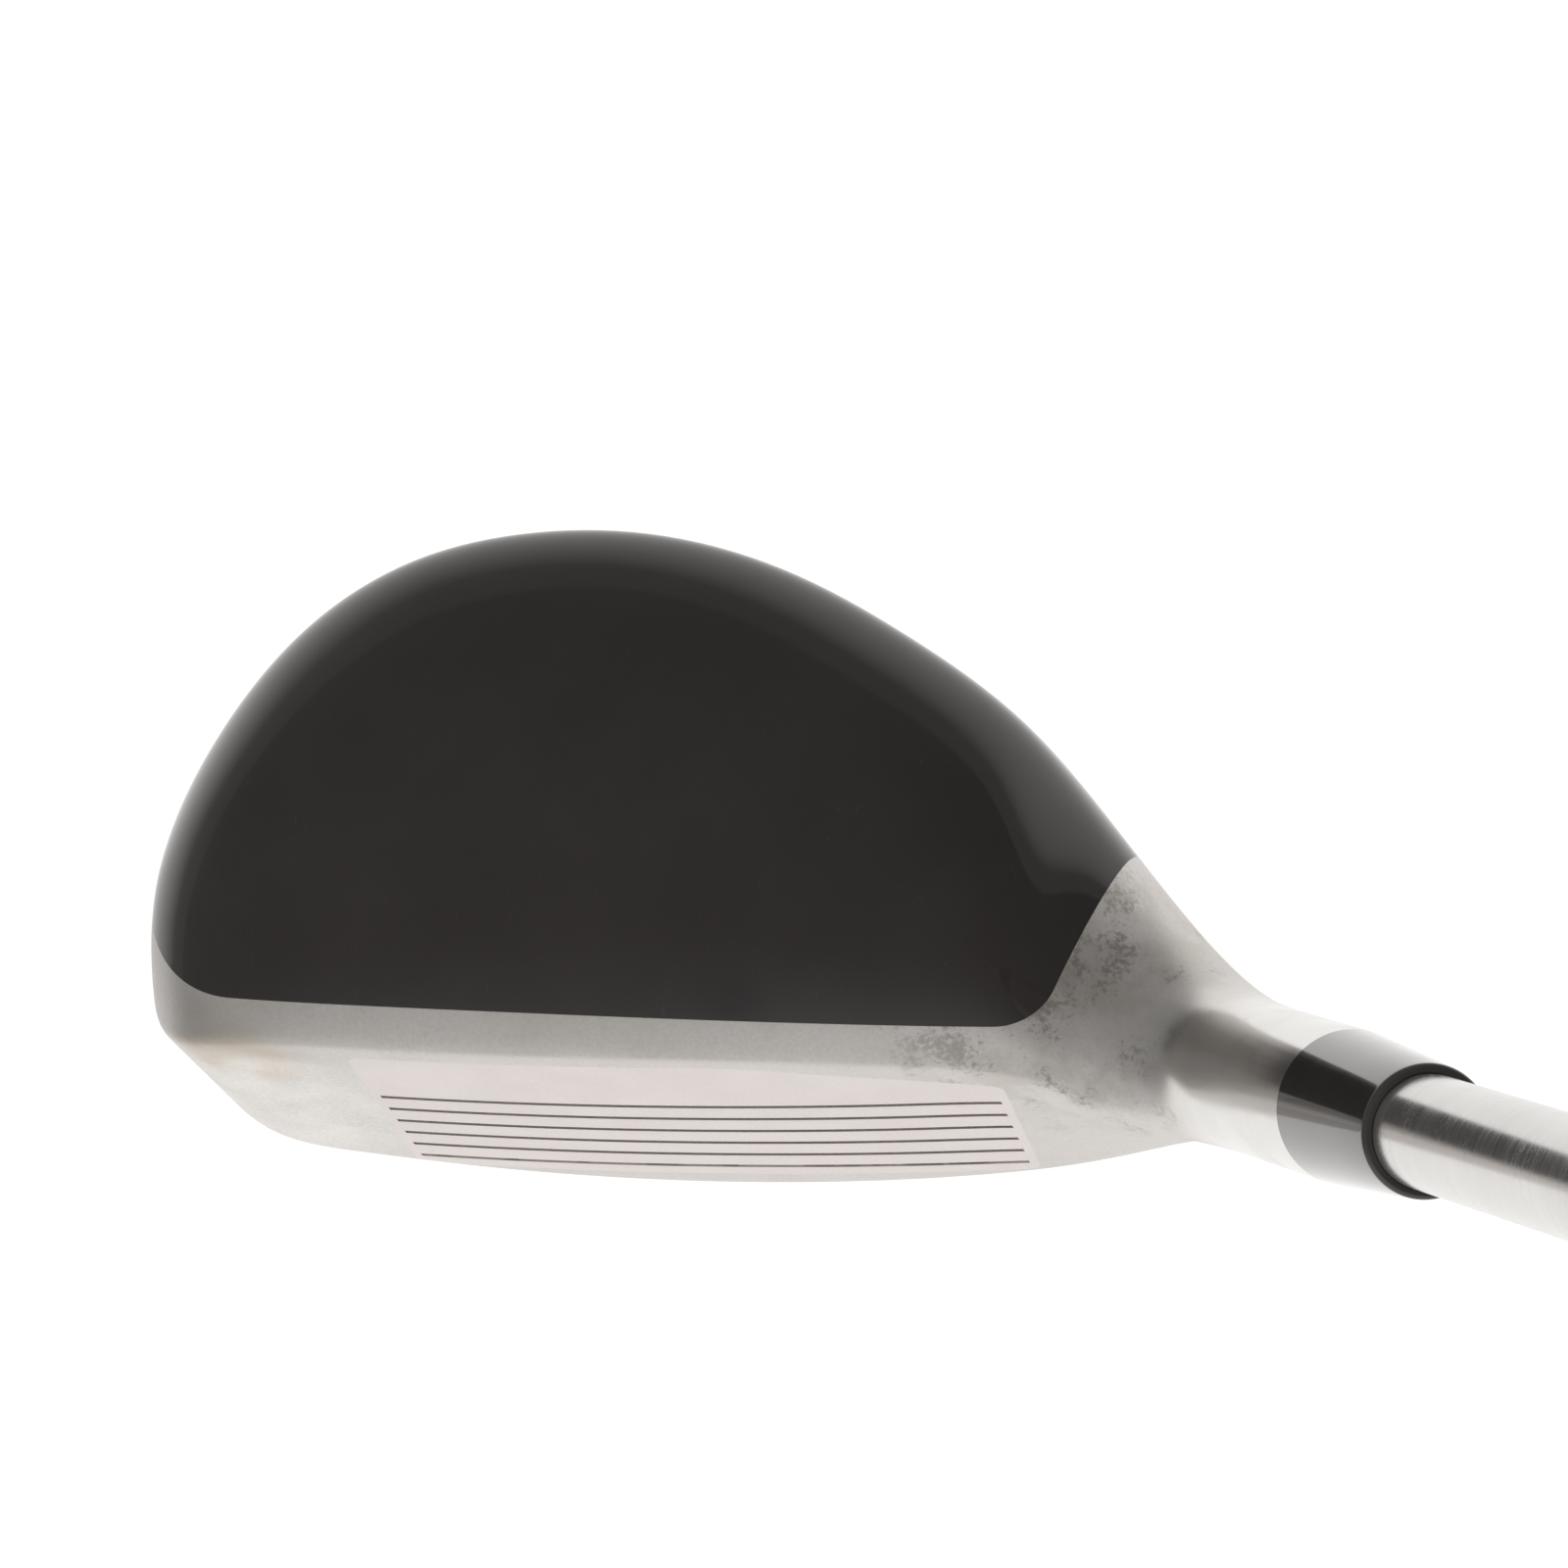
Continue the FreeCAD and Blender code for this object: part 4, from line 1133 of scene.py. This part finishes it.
def make_club():
    skin = head_skin("skin", 0)
    under_plate = head_skin("under plate", CROWN_PLATE)
    ledge = head_skin("ledge", CROWN_SEAT)
    body, crown, plate = make_head(skin, under_plate, ledge)
    paint = make_scorelines(skin, plate)
    slug = make_weight(skin)
    for helper in (skin, ledge):
        bpy.data.objects.remove(helper)
    steel = cast_steel()
    grip = rubber("grip_rubber", (0.012, 0.012, 0.012, 1), (0.022, 0.022, 0.022, 1))
    cap = rubber("cap_rubber", (0.016, 0.016, 0.016, 1), (0.028, 0.028, 0.028, 1))
    dress(body, steel, "cast_steel", "head_body")
    dress(crown, crown_paint(), "crown_paint", "crown_plate")
    dress(plate, face_steel(), "face_steel", "face_plate")
    dress(paint, scoreline_paint(), "scoreline_paint", "scoreline_paint")
    weight_metal = plain_metal("weight_steel", (0.42, 0.41, 0.40, 1), (0.58, 0.57, 0.56, 1), 0.3)
    dress(slug, weight_metal, "weight_steel", "rear_weight")
    tube = layer_on_shaft("shaft_tube", SHAFT_START, SHAFT_END, -SHAFT_WALL, 0)
    dress(tube, chrome(), "shaft_chrome", "shaft")
    ferrule = make_ferrule()
    dress(ferrule, gloss_black(), "ferrule_plastic", "ferrule")
    band = make_band()
    dress(band, film(), "band_film", "shaft_band")
    sleeve = make_grip()
    dress(sleeve, grip, "grip_rubber", "grip_sleeve")
    end = make_cap()
    dress(end, cap, "cap_rubber", "grip_cap")
    for piece in (body, crown, plate, paint, slug, tube, ferrule, band, sleeve, end):
        smooth(piece)
    recolour("crown_bond", filler("bond_line", (0.10, 0.09, 0.06, 1), (0.16, 0.14, 0.09, 1), 0.35))
    recolour("hot_melt_pad", filler("hot_melt", (0.45, 0.36, 0.16, 1), (0.58, 0.47, 0.24, 1), 0.25))
    recolour("hosel_epoxy", filler("shaft_epoxy", (0.30, 0.29, 0.25, 1), (0.42, 0.40, 0.34, 1), 0.3))
    recolour("grip_tape", filler("tape", (0.62, 0.58, 0.47, 1), (0.72, 0.68, 0.58, 1), 0.6))
    recolour("tip_pin", plain_metal("pin_brass", (0.50, 0.34, 0.12, 1), (0.66, 0.47, 0.20, 1), 0.3))


# ---- floor, light and camera -----------------------------------------------------------------

def make_floor():
    """A pale floor so evenly lit that it melts into the surroundings."""
    deselect()
    bpy.ops.mesh.primitive_circle_add(vertices=64, radius=FLOOR_RADIUS, fill_type="NGON")
    floor = named("studio_floor")
    material = bpy.data.materials.new("lit_floor")
    material.use_nodes = True
    tree = material.node_tree
    shader = tree.nodes["Principled BSDF"]
    shader.inputs["Base Color"].default_value = (0.12, 0.12, 0.12, 1)
    shader.inputs["Roughness"].default_value = 0.9
    shader.inputs["Specular IOR Level"].default_value = 0.0
    shader.inputs["Emission Color"].default_value = (1, 0.985, 0.97, 1)
    place = add(tree, "TexCoord").outputs["Object"]
    inputs = {0: place, 1: TABLE_CENTRE}
    distance = add(tree, "VectorMath", inputs, operation="DISTANCE").outputs["Value"]
    table = between(tree, distance, TABLE_EDGE, TABLE_EDGE * 2.2, FLOOR_LIGHT, ROOM_LIGHT)
    seen = add(tree, "LightPath").outputs["Is Camera Ray"]
    glow = add(tree, "Mix", {0: seen, 2: table, 3: FLOOR_LIGHT}).outputs[0]
    tree.links.new(glow, shader.inputs["Emission Strength"])
    floor.data.materials.append(material)


def make_light():
    """A dim room over the bright floor, white where it is looked at, and two soft lamps."""
    world = bpy.data.worlds.new("studio")
    bpy.context.scene.world = world
    world.use_nodes = True
    tree = world.node_tree
    place = add(tree, "TexCoord").outputs["Generated"]
    ahead = along(tree, place, (0, -1, 0))
    front = between(tree, ahead, 0.15, 0.8, ROOM_LIGHT, ROOM_LIGHT + FRONT_LIGHT)
    aside = along(tree, place, (1, 0, 0))
    room = maths(tree, "SUBTRACT", front, between(tree, aside, 0.25, 0.8, 0.0, HEEL_SIDE_SHADE))
    seen = add(tree, "LightPath").outputs["Is Camera Ray"]
    strength = add(tree, "Mix", {0: seen, 2: room, 3: 1.0}).outputs[0]
    background = tree.nodes["Background"]
    background.inputs["Color"].default_value = (1.0, 0.985, 0.97, 1)
    tree.links.new(strength, background.inputs["Strength"])
    for name, spot in LAMPS.items():
        lamp = bpy.data.lights.new(name, "AREA")
        lamp.shape = "DISK"
        lamp.size = LAMP_SIZE
        lamp.energy = LAMP_POWER
        obj = bpy.data.objects.new(name, lamp)
        obj.location = spot
        obj.rotation_euler = (-Vector(spot)).to_track_quat("-Z", "Y").to_euler()
        obj.visible_glossy = False
        bpy.context.scene.collection.objects.link(obj)


def make_camera():
    """A camera looking down on the head, rolled so that the face is at the bottom."""
    data = bpy.data.cameras.new("camera")
    data.lens = CAMERA_LENS
    data.sensor_width = CAMERA_SENSOR
    data.clip_end = 50
    bearing = math.radians(CAMERA_BEARING)
    elevation = math.radians(CAMERA_ELEVATION)
    roll = math.radians(CAMERA_ROLL)
    level = Vector((-math.sin(bearing), math.cos(bearing), 0))
    outward = Vector((math.cos(bearing), math.sin(bearing), 0))
    back = outward * math.cos(elevation) + Vector((0, 0, math.sin(elevation)))
    right = level * math.cos(roll) + back.cross(level) * math.sin(roll)
    turn = Matrix((right, back.cross(right), back)).transposed().to_4x4()
    place = (Vector(CAMERA_AIM) + back * CAMERA_DISTANCE) * MM
    camera = bpy.data.objects.new("camera", data)
    camera.matrix_world = Matrix.Translation(place) @ turn
    bpy.context.scene.collection.objects.link(camera)
    bpy.context.scene.camera = camera


make_camera()
make_light()
make_floor()
make_club()

scene = bpy.context.scene
scene.view_settings.view_transform = "Standard"
scene.view_settings.look = "None"
